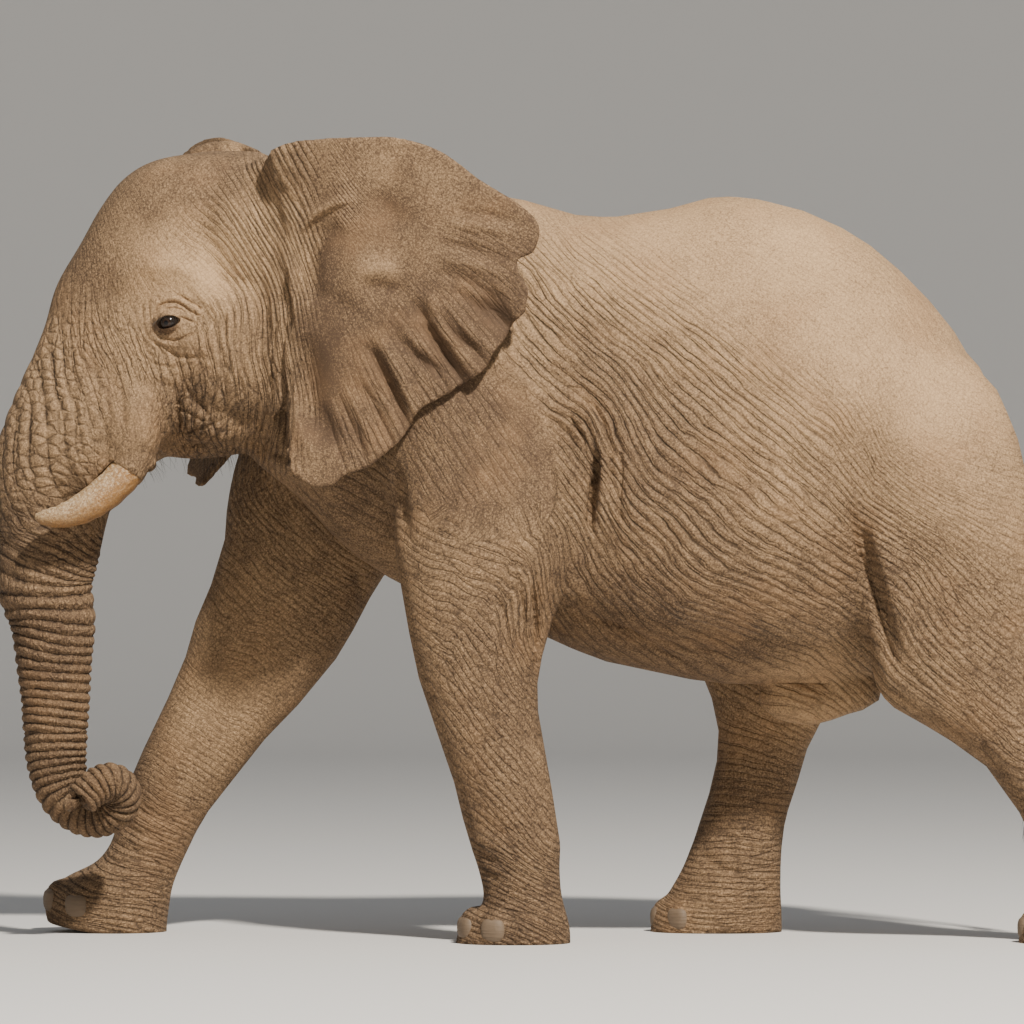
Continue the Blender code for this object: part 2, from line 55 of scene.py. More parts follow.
# --- Skin ------------------------------------------------------------------------------
# The hide of the whole animal, 2 to 4 cm thick, in one surface from the trunk's tip to the
# end of the tail. It hangs in folds where it is loose, over the ears and behind the elbows,
# and is cracked all over into ridges that run round whatever bends beneath them.
VOXEL = 0.0095
SKIN_TRIANGLES = 192_000
LEFT, RIGHT = -1, 1
SIDES = (LEFT, RIGHT)


def metres(*rows):
    """Rows of whole millimetres, given in metres."""
    return [tuple(value / 1000 for value in row) for row in rows]


def folds(*rows):
    """Folds from rows in millimetres: a depth, where out is positive, a half width, then a path."""
    return [(depth, width, *zip(path[::2], path[1::2])) for depth, width, *path in metres(*rows)]


BODY = metres(  # across the body: X, back, underside, half width, height of the widest point
    (-1480, 2950, 2200, 220, 2660), (-1360, 3240, 2080, 300, 2660), (-1200, 3380, 1950, 360, 2640),
    (-980, 3360, 1720, 400, 2540), (-740, 3330, 1560, 460, 2420), (-480, 3310, 1450, 520, 2280),
    (-200, 3260, 1370, 580, 2120), (100, 3185, 1240, 640, 2020), (410, 3215, 1165, 685, 1960),
    (680, 3275, 1120, 700, 1940), (960, 3235, 1120, 695, 1960), (1220, 3130, 1120, 650, 2000),
    (1440, 2970, 1200, 570, 2050), (1640, 2760, 1330, 450, 2080), (1765, 2570, 1500, 310, 2050),
    (1800, 2360, 1720, 150, 2000),
)
HEAD = metres(  # level sections: Z, front, back, half width near the front and near the back
    (3470, -1620, -1360, 100, 120), (3430, -1830, -1280, 200, 250), (3350, -1965, -1200, 260, 330),
    (3220, -2068, -1120, 300, 370), (3060, -2158, -1080, 310, 385), (2880, -2262, -1080, 280, 400),
    (2690, -2318, -1100, 260, 420), (2510, -2395, -1160, 270, 400), (2340, -2468, -1360, 280, 360),
    (2190, -2518, -1660, 280, 300), (2050, -2532, -1900, 260, 260), (1920, -2532, -2010, 235, 235),
    (1780, -2527, -2055, 220, 220),
)
JAW = metres(  # across the lower jaw: X, upper and lower edge, half width, widest height
    (-1200, 2620, 2260, 300, 2420), (-1360, 2520, 2165, 290, 2330), (-1520, 2460, 2125, 240, 2280),
    (-1680, 2400, 2115, 170, 2240), (-1800, 2340, 2130, 100, 2220),
)
TRUNK = metres(  # down the trunk: X, Y, Z, half depth, half width
    (-2275, 0, 1900, 240, 235), (-2295, 0, 1730, 228, 215), (-2315, 0, 1560, 212, 198),
    (-2280, 0, 1400, 190, 182), (-2275, 0, 1230, 170, 166), (-2268, 0, 1060, 153, 150),
    (-2268, 0, 900, 142, 138), (-2262, 0, 765, 132, 126), (-2232, -10, 640, 116, 115),
    (-2165, -25, 567, 107, 108), (-2080, -50, 542, 101, 103), (-1995, -90, 572, 94, 96),
    (-1968, -145, 645, 88, 90), (-2010, -205, 692, 84, 84), (-2078, -250, 668, 82, 82),
    (-2140, -275, 610, 76, 78),
)
TAIL = metres(  # down the tail, as for the trunk
    (1650, 0, 2600, 85, 80), (1765, 0, 2460, 80, 75), (1850, 0, 2300, 66, 62),
    (1905, 0, 2120, 54, 52), (1945, 0, 1850, 45, 44), (1985, 0, 1550, 38, 38),
    (2025, 0, 1250, 33, 33), (2050, 0, 1020, 32, 34), (2060, 0, 880, 30, 32),
    (2060, 0, 740, 22, 24), (2055, 0, 680, 12, 12),
)
LEGS = {  # level sections: Z, front, back, middle across, half width
    "leg_front_left": metres(
        (2660, -620, -60, -350, 200), (2400, -700, 70, -380, 230), (2140, -745, 115, -400, 250),
        (1900, -762, 110, -420, 250), (1700, -757, 55, -430, 245), (1490, -722, -40, -440, 225),
        (1230, -674, -118, -440, 205), (1040, -618, -135, -440, 190), (870, -561, -110, -440, 182),
        (690, -500, -78, -440, 176), (450, -437, -40, -440, 170), (320, -395, -40, -440, 166),
        (210, -372, -32, -440, 172), (130, -395, -12, -440, 195), (50, -480, 6, -440, 215),
        (-60, -500, 6, -440, 215),
    ),
    "leg_front_right": metres(
        (2660, -1100, -350, 340, 200), (2400, -1340, -350, 370, 220), (2160, -1470, -430, 400, 245),
        (1940, -1525, -530, 420, 255), (1740, -1545, -690, 430, 250), (1560, -1603, -850, 440, 235),
        (1390, -1675, -940, 440, 220), (1220, -1724, -1045, 440, 205),
        (1030, -1805, -1200, 440, 190), (860, -1886, -1360, 440, 182),
        (680, -1967, -1500, 440, 176), (520, -2015, -1625, 440, 172), (380, -2060, -1700, 440, 172),
        (280, -2125, -1745, 440, 178), (200, -2245, -1775, 440, 195), (110, -2335, -1790, 440, 212),
        (30, -2350, -1800, 440, 215), (-60, -2340, -1800, 440, 210),
    ),
    "leg_hind_left": metres(
        (2660, 1340, 1600, -220, 120), (2450, 1200, 1840, -290, 210), (2200, 1150, 1955, -350, 270),
        (1840, 1170, 2025, -410, 295), (1490, 1250, 2045, -430, 285), (1230, 1310, 2060, -440, 255),
        (1060, 1370, 2100, -440, 230), (925, 1580, 2150, -440, 205), (790, 1785, 2210, -440, 188),
        (650, 1900, 2285, -440, 178), (530, 1978, 2342, -440, 174), (400, 2030, 2395, -440, 174),
        (270, 2048, 2440, -440, 180), (160, 2022, 2475, -440, 192), (70, 1965, 2490, -440, 205),
        (-60, 1950, 2490, -440, 205),
    ),
    "leg_hind_right": metres(
        (2560, 1160, 1560, 220, 120), (2300, 980, 1760, 310, 230), (1950, 800, 1800, 390, 275),
        (1600, 630, 1600, 420, 265), (1360, 570, 1400, 430, 245), (1200, 585, 1270, 430, 225),
        (1080, 636, 1200, 430, 212), (950, 674, 1150, 430, 200), (820, 678, 1080, 430, 188),
        (670, 651, 1037, 430, 180), (520, 606, 988, 430, 175), (400, 565, 968, 430, 176),
        (280, 516, 961, 430, 183), (170, 453, 961, 430, 194), (70, 385, 966, 430, 205),
        (-60, 370, 966, 430, 205),
    ),
}
TOE_LIFT, PASTERN = 0.10, 0.40  # rise of the reaching foot's toes, and height it fades out at
MIDDLE_MASSES = (  # sheath under the belly: centre, radii and tilt of each form
    ((1.06, 0.0, 1.06), (0.22, 0.13, 0.125), 0),
    ((1.22, 0.0, 1.09), (0.17, 0.12, 0.10), 0),
)
EAR_MARGIN = metres(  # the edge of the ear laid flat, from its root's top: along and height
    (-95, 3335), (-70, 3405), (-25, 3455), (100, 3480), (350, 3490), (520, 3483), (700, 3422),
    (870, 3298), (1040, 3190), (1120, 3095), (1090, 2985), (1035, 2955), (1025, 2900), (1062, 2868),
    (1065, 2790), (1020, 2680), (930, 2560), (795, 2420), (600, 2290), (440, 2110), (280, 2010),
    (150, 1980), (30, 2045),
)
FAR_LOBE = metres(  # the last of the right ear's edge, in place of the left's last three
    (290, 2045), (235, 1995), (130, 1980), (30, 1985), (50, 2120),
)
EAR_ROOT = metres(  # where the blade leaves the head, on the ear laid flat
    (-100, 3300), (0, 3220), (50, 3080), (45, 2930), (30, 2780), (20, 2630), (15, 2480), (20, 2320),
)
EAR_ROOT_X, EAR_ROOT_Y, EAR_THICKNESS = -1.25, 0.36, 0.024
EAR_TURN = 0.19  # how soon the blade turns out from the head
EAR_RISE, EAR_FLARE = 0.24, 0.09  # how far the left ear stands off, and more per metre back
SPREAD, SPREAD_SHIFT, SPREAD_REACH, SPREAD_LIFT = math.radians(34), 0.06, 0.12, 0.195  # right ear
SPREAD_CUP, SPREAD_WAVE = 0.06, 2.4  # depth of its hollow, and waves of it to the metre
LOBE_SWEEP, LOBE_TOP, LOBE_LENGTH = 0.25, 2.6, 0.6  # its low lobe, swept forward
# How the sheet before the ear's root reaches over the head and sinks into it.
ROOT_DIP, ROOT_REACH, ROOT_TUCK, LOW_DIP = 0.045, 0.13, 0.04, 0.11
EAR_TEETH = ((0.011, 61, 0.0), (0.006, 143, 1.0))  # ragged margin: depth, waves, where they start
EYE = Vector((-1.745, 0.345, 2.703))
TUSK = metres(  # down the tusk: X, Y, Z, half depth, half width
    (-1872, 280, 2190, 72, 70), (-1926, 295, 2065, 75, 72), (-2015, 318, 1968, 74, 71),
    (-2110, 335, 1898, 69, 67), (-2210, 345, 1857, 54, 53), (-2290, 345, 1850, 36, 36),
    (-2330, 343, 1855, 14, 14),
)
FAR_TUSK = Vector((-0.034, 0, 0.012))  # the right tusk grows this much further forward and up

# Where the row's frame lies from the animal's own.
eye_low, eye_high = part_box("eye_left")
SHIFT = (eye_low + eye_high) / 2 - Vector((EYE.x, -EYE.y, EYE.z))
SHIFT.z = 0.0


def fair(rows, count):
    """The rows of a table, read at an even count of stations on a smooth curve through them."""
    rows = np.array(rows, float)
    ends = np.vstack([2 * rows[0] - rows[1], rows, 2 * rows[-1] - rows[-2]])
    at = np.linspace(0, len(rows) - 1, count)
    first = np.minimum(at.astype(int), len(rows) - 2)
    t = (at - first)[:, None]
    a, b, c, d = (ends[first + k] for k in range(4))
    bend = (2 * a - 5 * b + 4 * c - d) * t**2 + (3 * b - a - 3 * c + d) * t**3
    return 0.5 * (2 * b + (c - a) * t + bend)


def turn(count):
    """Cosine and sine of evenly spaced bearings, once round."""
    bearings = [2 * math.pi * i / count for i in range(count)]
    return [(math.cos(bearing), math.sin(bearing)) for bearing in bearings]


def fuller(value, power):
    """A share of a ring's reach, raised so that its section is squarer."""
    return math.copysign(abs(value) ** power, value)


def ramp(value, length):
    """0 up to nothing and 1 from this length on."""
    return min(max(value / length, 0.0), 1.0)


def graded(values, length):
    """The same over an array of values."""
    return np.clip(values / length, 0, 1)


def bell(values, width):
    """1 at nothing, falling off over this width to either side."""
    return np.exp(-((values / width) ** 2))


def everything(bm):
    """All of a bmesh, as the operators take it."""
    return bm.verts[:] + bm.edges[:] + bm.faces[:]


def upright_ring(station, count=56):
    """Section across the body: a ridge above its widest point and a round belly below."""
    x, top, bottom, half_width, widest = station
    ring = []
    for rise, side in turn(count):
        reach = top - widest if rise > 0 else widest - bottom
        ring.append((x, half_width * fuller(side, 0.92), widest + reach * fuller(rise, 0.96)))
    return ring


def level_ring(station, lift=0.0, count=40):
    """Level section through a leg. A lift raises the toes of the foot off the ground."""
    z, front, back, middle, half_width = station
    centre, reach = (front + back) / 2, (back - front) / 2
    lift *= ramp(1 - z / PASTERN, 1)
    ring = []
    for c, s in turn(count):
        place = (centre + reach * fuller(c, 0.92), middle + half_width * fuller(s, 0.92))
        ring.append((*place, z + lift * (1 - c) / 2))
    return ring


def head_ring(station, count=56):
    """Level section through the head, wider at its back than at its front."""
    z, front, back, half_front, half_back = station
    ring = []
    for c, s in turn(count):
        along = (1 - c) / 2
        half = half_front + (half_back - half_front) * along
        ring.append((front + (back - front) * along, half * fuller(s, 0.75), z))
    return ring


def tube_rings(stations, count=28):
    """Rings square to a path, each with its own depth in the path's plane and its own width."""
    rings = []
    places = [Vector(s[:3]) for s in stations]
    for i, (place, station) in enumerate(zip(places, stations)):
        ahead = places[min(i + 1, len(places) - 1)] - places[max(i - 1, 0)]
        ahead.normalize()
        side = (Vector((0, 1, 0)) - ahead * ahead.y).normalized()
        across = side.cross(ahead)
        deep, wide = station[3:5]
        rings.append([place + across * deep * c + side * wide * s for c, s in turn(count)])
    return rings


def loft(rings):
    """A closed form through rings of equal count, with its two ends filled."""
    bm = bmesh.new()
    loops = []
    for ring in rings:
        made = bmesh.ops.create_circle(bm, segments=len(ring), radius=1)["verts"]
        for vert, point in zip(made, ring):
            vert.co = point
        loops.append(list(dict.fromkeys(e for v in made for e in v.link_edges)))
    for near, far in zip(loops, loops[1:]):
        bmesh.ops.bridge_loops(bm, edges=near + far)
    bmesh.ops.holes_fill(bm, edges=loops[0] + loops[-1])
    bmesh.ops.recalc_face_normals(bm, faces=bm.faces)
    return bm


def blob(centre, radii, tilt=0.0, segments=32):
    """An ellipsoid, turned about Y."""
    bm = bmesh.new()
    bmesh.ops.create_uvsphere(bm, u_segments=segments, v_segments=segments // 2, radius=1)
    bmesh.ops.scale(bm, vec=radii, verts=bm.verts)
    bmesh.ops.rotate(bm, cent=(0, 0, 0), matrix=Euler((0, tilt, 0)).to_matrix(), verts=bm.verts)
    bmesh.ops.translate(bm, vec=centre, verts=bm.verts)
    return bm


def path_shape(points, path, width, taper=True):
    """1 on a path, falling off sideways over its width, and fading towards its ends."""
    path = np.array(path, float)
    lengths = np.linalg.norm(np.diff(path, axis=0), axis=1)
    start = np.concatenate([[0], np.cumsum(lengths)])
    best = np.full(len(points), 1e9)
    along = np.zeros(len(points))
    for a, b, s, length in zip(path, path[1:], start, lengths):
        t = np.clip((points - a) @ (b - a) / length**2, 0, 1)
        away = np.linalg.norm(points - a - t[:, None] * (b - a), axis=1)
        nearer = away < best
        best[nearer] = away[nearer]
        along[nearer] = (s + t * length)[nearer]
    shape = np.exp(-((best / width) ** 1.6))
    if taper:
        shape *= np.clip(np.sin(np.pi * along / start[-1]), 0, 1) ** 0.6
    return shape


def path_folds(points, folds):
    """Sum of the folds at flat points. A fold is its depth, its half width and its path."""
    height = np.zeros(len(points))
    for depth, width, *path in folds:
        low, high = np.min(path, axis=0) - 3 * width, np.max(path, axis=0) + 3 * width
        near = ((points > low) & (points < high)).all(axis=1)
        height[near] += depth * path_shape(points[near], path, width)
    return height


# Folds of the ear's blade, on the ear laid flat.
EAR_FOLDS = folds(
    (-55, 26, 371, 2600, 423, 2527, 475, 2432, 518, 2332, 560, 2200),
    (30, 22, 410, 2640, 470, 2550, 520, 2450, 570, 2340, 610, 2230),
    (-30, 18, 330, 2433, 392, 2359, 455, 2244, 510, 2130),
    (-55, 28, 581, 2790, 643, 2663, 717, 2537, 801, 2427, 840, 2360),
    (30, 22, 630, 2820, 700, 2680, 775, 2560, 860, 2450),
    (-35, 20, 665, 2740, 738, 2652, 833, 2570, 900, 2490),
    (22, 16, 700, 2780, 780, 2690, 870, 2600, 930, 2540),
    (-28, 18, 728, 2842, 801, 2799, 872, 2736, 926, 2674),
    (-60, 45, 872, 2800, 937, 2725, 989, 2663, 980, 2580),
    (-34, 18, 497, 2640, 581, 2548, 665, 2484, 740, 2390),
    (18, 15, 530, 2660, 620, 2580, 700, 2520, 770, 2440),
    (-26, 15, 246, 2380, 288, 2306, 330, 2224, 380, 2090),
    (-22, 14, 183, 2350, 215, 2265, 246, 2172, 280, 2060),
    (18, 14, 290, 2400, 335, 2306, 370, 2224, 420, 2110),
    (-60, 55, 110, 2640, 129, 2464, 141, 2306, 230, 2150),
    (24, 24, 50, 2540, 55, 2358, 80, 2220, 160, 2100), (-18, 12, 769, 3166, 894, 3155, 1040, 3114),
    (16, 14, 717, 3110, 853, 3098, 1020, 3071), (-22, 14, 690, 3035, 832, 3003, 990, 2950),
    (18, 15, 690, 2965, 832, 2935, 980, 2883),
    (-26, 16, 665, 2905, 769, 2882, 872, 2835, 980, 2780),
    (-55, 45, 267, 3123, 173, 3062, 132, 2976, 142, 2851, 173, 2769),
    (30, 22, 330, 3215, 225, 3196, 141, 3148, 77, 3082, 50, 3000),
    (28, 18, 20, 3040, 52, 2950, 48, 2850, 30, 2780),
    (-38, 12, 75, 3040, 92, 2950, 88, 2860, 70, 2780), (35, 70, 270, 2780, 350, 2900, 520, 2930),
    (-24, 40, 330, 2860, 450, 2840, 560, 2820), (-22, 70, 400, 3260, 480, 3180, 540, 3080),
    (9, 9, 445, 2700, 561, 2682, 695, 2695, 782, 2674),
)


def ear_point(side, along, height, root_distance, ruffle):
    """Where a point of the flat ear lies on the animal: left ear folded back, right ear spread."""
    if side == LEFT:
        turned = 1 - math.exp(-max(root_distance + ROOT_REACH, 0.0) / EAR_TURN)
        sunk = 0.08 * ramp(height - 2.9, 0.35) * (1 - turned)
        sunk += ROOT_DIP * max(-root_distance - ROOT_REACH, 0.0) / ROOT_TUCK
        sunk += 0.12 * ramp(-0.02 - along, 0.07) * ramp(height - 3.22, 0.1)
        sunk += LOW_DIP * ramp(LOBE_TOP - height, 0.3) * (1 - turned)
        out = EAR_ROOT_Y + EAR_RISE * turned - sunk + EAR_FLARE * max(along, 0.0) + ruffle
        return Vector((EAR_ROOT_X + along, -out, height + 0.5 * min(root_distance, 0.0)))
    if root_distance < 0:  # the skin of the head in front of the ear's root
        sunk = EAR_ROOT_Y - ROOT_DIP * (1 - math.exp(root_distance / ROOT_DIP))
        sunk -= LOW_DIP * ramp(LOBE_TOP - height, 0.3)
        x = EAR_ROOT_X + along - SPREAD_SHIFT * (side == RIGHT)
        return Vector((x, side * sunk, height + 0.5 * root_distance))
    turned = 1 - math.exp(-max(root_distance, 0.0) / EAR_TURN)
    reach = along + SPREAD_REACH * turned
    hollow = SPREAD_CUP * math.sin(SPREAD_WAVE * max(reach, 0.0))
    sweep = LOBE_SWEEP * max(0.0, (LOBE_TOP - height) / LOBE_LENGTH) ** 2
    x = EAR_ROOT_X - SPREAD_SHIFT - reach * math.sin(SPREAD) + hollow - sweep
    lift = SPREAD_LIFT * max(reach, 0.0)
    low = LOW_DIP * ramp(LOBE_TOP - height, 0.3) * (1 - turned)
    place = Vector((x, EAR_ROOT_Y + reach * math.cos(SPREAD) - low, height + lift))
    return place - ruffle * Vector((math.cos(SPREAD), math.sin(SPREAD), 0))


def ear(side, rows=170, columns=90, before=12):
    """The ear's blade: a sheet from the head before its root to its margin, made thick."""
    edge = EAR_MARGIN if side == LEFT else EAR_MARGIN[:-3] + FAR_LOBE
    margin, root = fair(edge, rows), fair(EAR_ROOT, rows)
    way = np.linspace(0, 1, rows)
    torn = sum(depth * np.sin(waves * way + start) for depth, waves, start in EAR_TEETH)
    margin += torn[:, None] * np.clip((way - 0.42) * 8, 0, 1)[:, None] * np.array([0.7, -0.7])
    bm = bmesh.new()
    bmesh.ops.create_grid(bm, x_segments=rows - 1, y_segments=columns - 1, size=0.5)
    flat, outward = [], []
    for vert in bm.verts:
        row = round((vert.co.x + 0.5) * (rows - 1))
        column = round((vert.co.y + 0.5) * (columns - 1)) - before
        share = max(column, 0) / (columns - 1 - before)
        ahead = min(column, 0) / before * (ROOT_REACH + ROOT_TUCK)
        flat.append(root[row] + (margin[row] - root[row]) * share + np.array([ahead, 0]))
        outward.append(np.linalg.norm(margin[row] - root[row]) * share + ahead)
    flat = np.array(flat)
    ruffle = path_folds(flat, EAR_FOLDS)
    for vert, (along, height), distance, fold in zip(bm.verts, flat, outward, ruffle):
        vert.co = ear_point(side, float(along), float(height), float(distance), float(fold))
    bm.normal_update()
    copy = bmesh.ops.duplicate(bm, geom=everything(bm))
    for vert in [v for v in copy["geom"] if isinstance(v, bmesh.types.BMVert)]:
        near = copy["vert_map"][vert]
        vert.co = near.co - near.normal * EAR_THICKNESS / 2
        near.co = near.co + near.normal * EAR_THICKNESS / 2
    inner = [f for f in copy["geom"] if isinstance(f, bmesh.types.BMFace)]
    bmesh.ops.reverse_faces(bm, faces=inner)
    bmesh.ops.bridge_loops(bm, edges=[e for e in bm.edges if e.is_boundary])
    if bm.calc_volume(signed=True) < 0:
        bmesh.ops.reverse_faces(bm, faces=bm.faces)
    return bm


def joined(name, forms):
    """One object from several forms."""
    whole = bmesh.new()
    for form in forms:
        part = bpy.data.meshes.new("form")
        form.to_mesh(part)
        form.free()
        whole.from_mesh(part)
        bpy.data.meshes.remove(part)
    mesh = bpy.data.meshes.new(name)
    whole.to_mesh(mesh)
    whole.free()
    obj = bpy.data.objects.new(name, mesh)
    bpy.context.scene.collection.objects.link(obj)
    return obj


def settle(obj):
    """Apply an object's modifiers."""
    graph = bpy.context.evaluated_depsgraph_get()
    mesh = bpy.data.meshes.new_from_object(obj.evaluated_get(graph))
    old = obj.data
    obj.modifiers.clear()
    obj.data = mesh
    bpy.data.meshes.remove(old)


def read(rows, name):
    """Triples of a mesh's property, one row for each vertex."""
    flat = np.empty(len(rows) * 3, np.float32)
    rows.foreach_get(name, flat)
    return flat.reshape(-1, 3).astype(float)


def points_of(mesh):
    return read(mesh.vertices, "co")


def normals_of(mesh):
    return read(mesh.vertex_normals, "vector")


def set_points(mesh, points):
    mesh.vertices.foreach_set("co", points.astype(np.float32).ravel())
    mesh.update()


def weigh(obj, name, weights):
    """Give an object a vertex group with these weights, in steps of a twentieth."""
    group = obj.vertex_groups.new(name=name)
    levels = np.round(np.clip(weights, 0, 1) * 20).astype(int)
    for level in range(1, 21):
        group.add(np.flatnonzero(levels == level).tolist(), level / 20, "REPLACE")


def store(mesh, fields):
    """Keep values at a mesh's points, for its material."""
    for name, values in fields.items():
        stored = mesh.attributes.new(name, "FLOAT", "POINT")
        stored.data.foreach_set("value", values.astype(np.float32))


def bring_home(mesh, points):
    """Set a finished mesh's points, moved into the row's frame."""
    set_points(mesh, points + np.array(SHIFT))
    mesh.shade_smooth()


def eye_centre(side):
    """Middle of the eye on this side."""
    return Vector((EYE.x, side * EYE.y, EYE.z))


def tusk_middle(side, count):
    """Places down the middle of a tusk, from its root."""
    return fair(TUSK, count)[:, :3] * np.array([1, side, 1]) + np.array(FAR_TUSK) * (side == RIGHT)


SOFT_MASSES = (  # softer forms, one on each side: centre, radii and tilt in degrees
    ((-1.905, 0.272, 2.255), (0.135, 0.118, 0.215), 8),  # sheath of the tusk
    ((-2.040, 0.215, 2.240), (0.210, 0.120, 0.330), 14),  # and its front, running into the trunk
    ((-1.828, 0.285, 2.095), (0.030, 0.028, 0.034), 40),  # the lip's corner, hanging behind it
    ((-1.44, 0.245, 2.60), (0.34, 0.175, 0.33), 0),  # cheek
    ((-1.38, 0.245, 3.10), (0.26, 0.165, 0.30), 0),  # back of the temple, running into the ear
    ((-1.29, 0.27, 3.35), (0.12, 0.13, 0.082), 8),  # and above it, under the ear's top corner
    ((-1.56, 0.17, 2.32), (0.20, 0.15, 0.15), 0),  # jowl
    ((-1.12, 0.18, 2.10), (0.22, 0.17, 0.12), 20),  # loose skin of the throat
    ((-0.50, 0.36, 2.20), (0.36, 0.27, 0.62), -8),  # shoulder
    ((1.36, 0.31, 2.20), (0.42, 0.32, 0.56), -22),  # hip
)
EAR_SOCKET = metres(  # flesh between the head and the root of the ear: X, Y, Z and radii
    (-1340, 160, 3380, 80, 80), (-1280, 220, 3300, 110, 90), (-1220, 250, 3180, 120, 100),
    (-1200, 270, 3020, 110, 100), (-1210, 270, 2860, 90, 100), (-1230, 270, 2700, 70, 100),
    (-1240, 280, 2550, 60, 110), (-1260, 260, 2400, 60, 110), (-1280, 200, 2220, 50, 110),
)
NAILS = {  # bearings of each foot's nails, in degrees from its front towards the right
    "leg_front_left": (-66, -24, 20, 62),
    "leg_front_right": (-62, -20, 24, 66),
    "leg_hind_left": (-48, 0, 48),
    "leg_hind_right": (-48, 0, 48),
}
NAIL_HEIGHT, NAIL_SINK = 0.062, 0.925  # above the sole, and share of the foot's reach
TOE_SINK, TOE_RADII = 0.045, (0.075, 0.078, 0.085)


def nail_places(node):
    """Bearing and centre of each nail of a foot."""
    front, back, middle, half_width = LEGS[node][-2][1:]
    centre, reach = (front + back) / 2, (back - front) / 2
    for degrees in NAILS[node]:
        bearing = math.radians(degrees)
        x = centre - NAIL_SINK * reach * math.cos(bearing)
        lift = TOE_LIFT * (1 - NAIL_HEIGHT / PASTERN) if node == "leg_front_right" else 0.0
        z = NAIL_HEIGHT + lift * (1 + math.cos(bearing)) / 2
        yield bearing, Vector((x, middle + NAIL_SINK * half_width * math.sin(bearing), z))


forms = [
    loft([upright_ring(s) for s in fair(BODY, 100)]),
    loft([head_ring(s) for s in fair(HEAD, 90)]),
    loft([upright_ring(s) for s in fair(JAW, 30)]),
    loft(tube_rings(fair(TRUNK, 150))),
    loft(tube_rings(fair(TAIL, 90), 16)),
    ear(LEFT),
    ear(RIGHT),
    loft(tube_rings(fair(EAR_SOCKET, 50))),
    loft(tube_rings(fair([(x, -y, *rest) for x, y, *rest in EAR_SOCKET], 50))),
    blob((-1.59, 0.70, 3.50), (0.15, 0.10, 0.075), math.radians(-6)),  # the far ear's rolled edge
    blob((-2.155, -0.262, 0.655), (0.040, 0.045, 0.034), math.radians(40), 20),  # upper finger
    blob((-2.185, -0.290, 0.590), (0.034, 0.040, 0.028), math.radians(40), 20),  # lower finger
]
for node, stations in LEGS.items():
    lift = TOE_LIFT if node == "leg_front_right" else 0.0
    forms.append(loft([level_ring(s, lift) for s in fair(stations, 110)]))
    for bearing, place in nail_places(node):
        inward = Vector((math.cos(bearing), -math.sin(bearing), 0.25)) * TOE_SINK
        forms.append(blob(place + inward, TOE_RADII, segments=20))
for centre, radii, tilt in MIDDLE_MASSES:
    forms.append(blob(centre, radii, math.radians(tilt)))
for (x, y, z), radii, tilt in SOFT_MASSES:
    for side in SIDES:
        forward = FAR_TUSK.x * (side == RIGHT and x < -1.8)  # the far tusk's sheath
        forms.append(blob((x + forward, side * y, z), radii, math.radians(tilt)))
skin = joined("skin", forms)
blend = skin.modifiers.new("blend", "REMESH")
blend.mode = "VOXEL"
blend.voxel_size = VOXEL
settle(skin)


def ear_flat(points):
    """Places on the flat ear for points near either blade, and how far they are from it."""
    x, y, z = points.T
    along = x - EAR_ROOT_X
    height = z.copy()
    away = np.abs(-y - (EAR_ROOT_Y + EAR_RISE + EAR_FLARE * np.maximum(along, 0)))
    spread = y > 0
    reach = (y - EAR_ROOT_Y) / math.cos(SPREAD)
    hollow = SPREAD_CUP * np.sin(SPREAD_WAVE * np.maximum(reach, 0))
    flat_z = z - SPREAD_LIFT * np.maximum(reach, 0)
    sweep = LOBE_SWEEP * np.maximum(0, (LOBE_TOP - flat_z) / LOBE_LENGTH) ** 2
    blade_x = EAR_ROOT_X - SPREAD_SHIFT - reach * math.sin(SPREAD) + hollow - sweep
    along[spread] = (reach - SPREAD_REACH)[spread]
    height[spread] = flat_z[spread]
    away[spread] = (np.abs(x - blade_x) * math.cos(SPREAD))[spread]
    return np.column_stack([along, height]), away


def blade_share(points):
    """1 on the free blade of either ear and 0 on the rest of the animal, with the flat places."""
    flat, away = ear_flat(points)
    inside = (flat[:, 0] > 0.05) & (flat[:, 0] < 1.2) & (flat[:, 1] > 1.9) & (flat[:, 1] < 3.6)
    far_side = points[:, 1] > 0
    inside[far_side] &= points[far_side, 1] > 0.47
    return graded(0.11 - away, 0.05) * inside, flat


trunk_line = fair(TRUNK, 400)[:, :3]
trunk_steps = np.linalg.norm(np.diff(trunk_line, axis=0), axis=1)
trunk_length = np.concatenate([[0], np.cumsum(trunk_steps)])


def along_trunk(points):
    """How far down the trunk each point is, how far round it, and 1 where a point belongs to it."""
    x, y, z = points.T
    near = (x < -1.86) & (y < 0.26) & (y > -0.40) & (z < 1.95) & (z > 0.40)
    reach, around = np.zeros((2, len(points)))
    ahead = np.gradient(trunk_line, axis=0)
    ahead /= np.linalg.norm(ahead, axis=1, keepdims=True)
    beside = np.cross([0.0, 1.0, 0.0], ahead)
    for chunk in np.array_split(np.flatnonzero(near), 60):
        gap = np.linalg.norm(points[chunk, None] - trunk_line[None], axis=2)
        nearest = gap.argmin(axis=1)
        reach[chunk] = trunk_length[nearest]
        near[chunk] &= gap.min(axis=1) < 0.32
        offset = points[chunk] - trunk_line[nearest]
        around[chunk] = np.arctan2((offset * beside[nearest]).sum(axis=1), -offset[:, 1])
    return reach, 0.20 * around, graded(1.82 - z, 0.25) * near


def spread_over(table, places, power=3.0):
    """Values of a table of (x, z, value...) rows at other places, nearer rows counting more."""
    table = np.array(table, float)
    out = np.empty((len(places), table.shape[1] - 2))
    for chunk in np.array_split(np.arange(len(places)), max(1, len(places) // 20000)):
        gap = np.linalg.norm(places[chunk, None] - table[None, :, :2], axis=2) + 0.03
        share = gap**-power
        out[chunk] = share @ table[:, 2:] / share.sum(axis=1, keepdims=True)
    return out


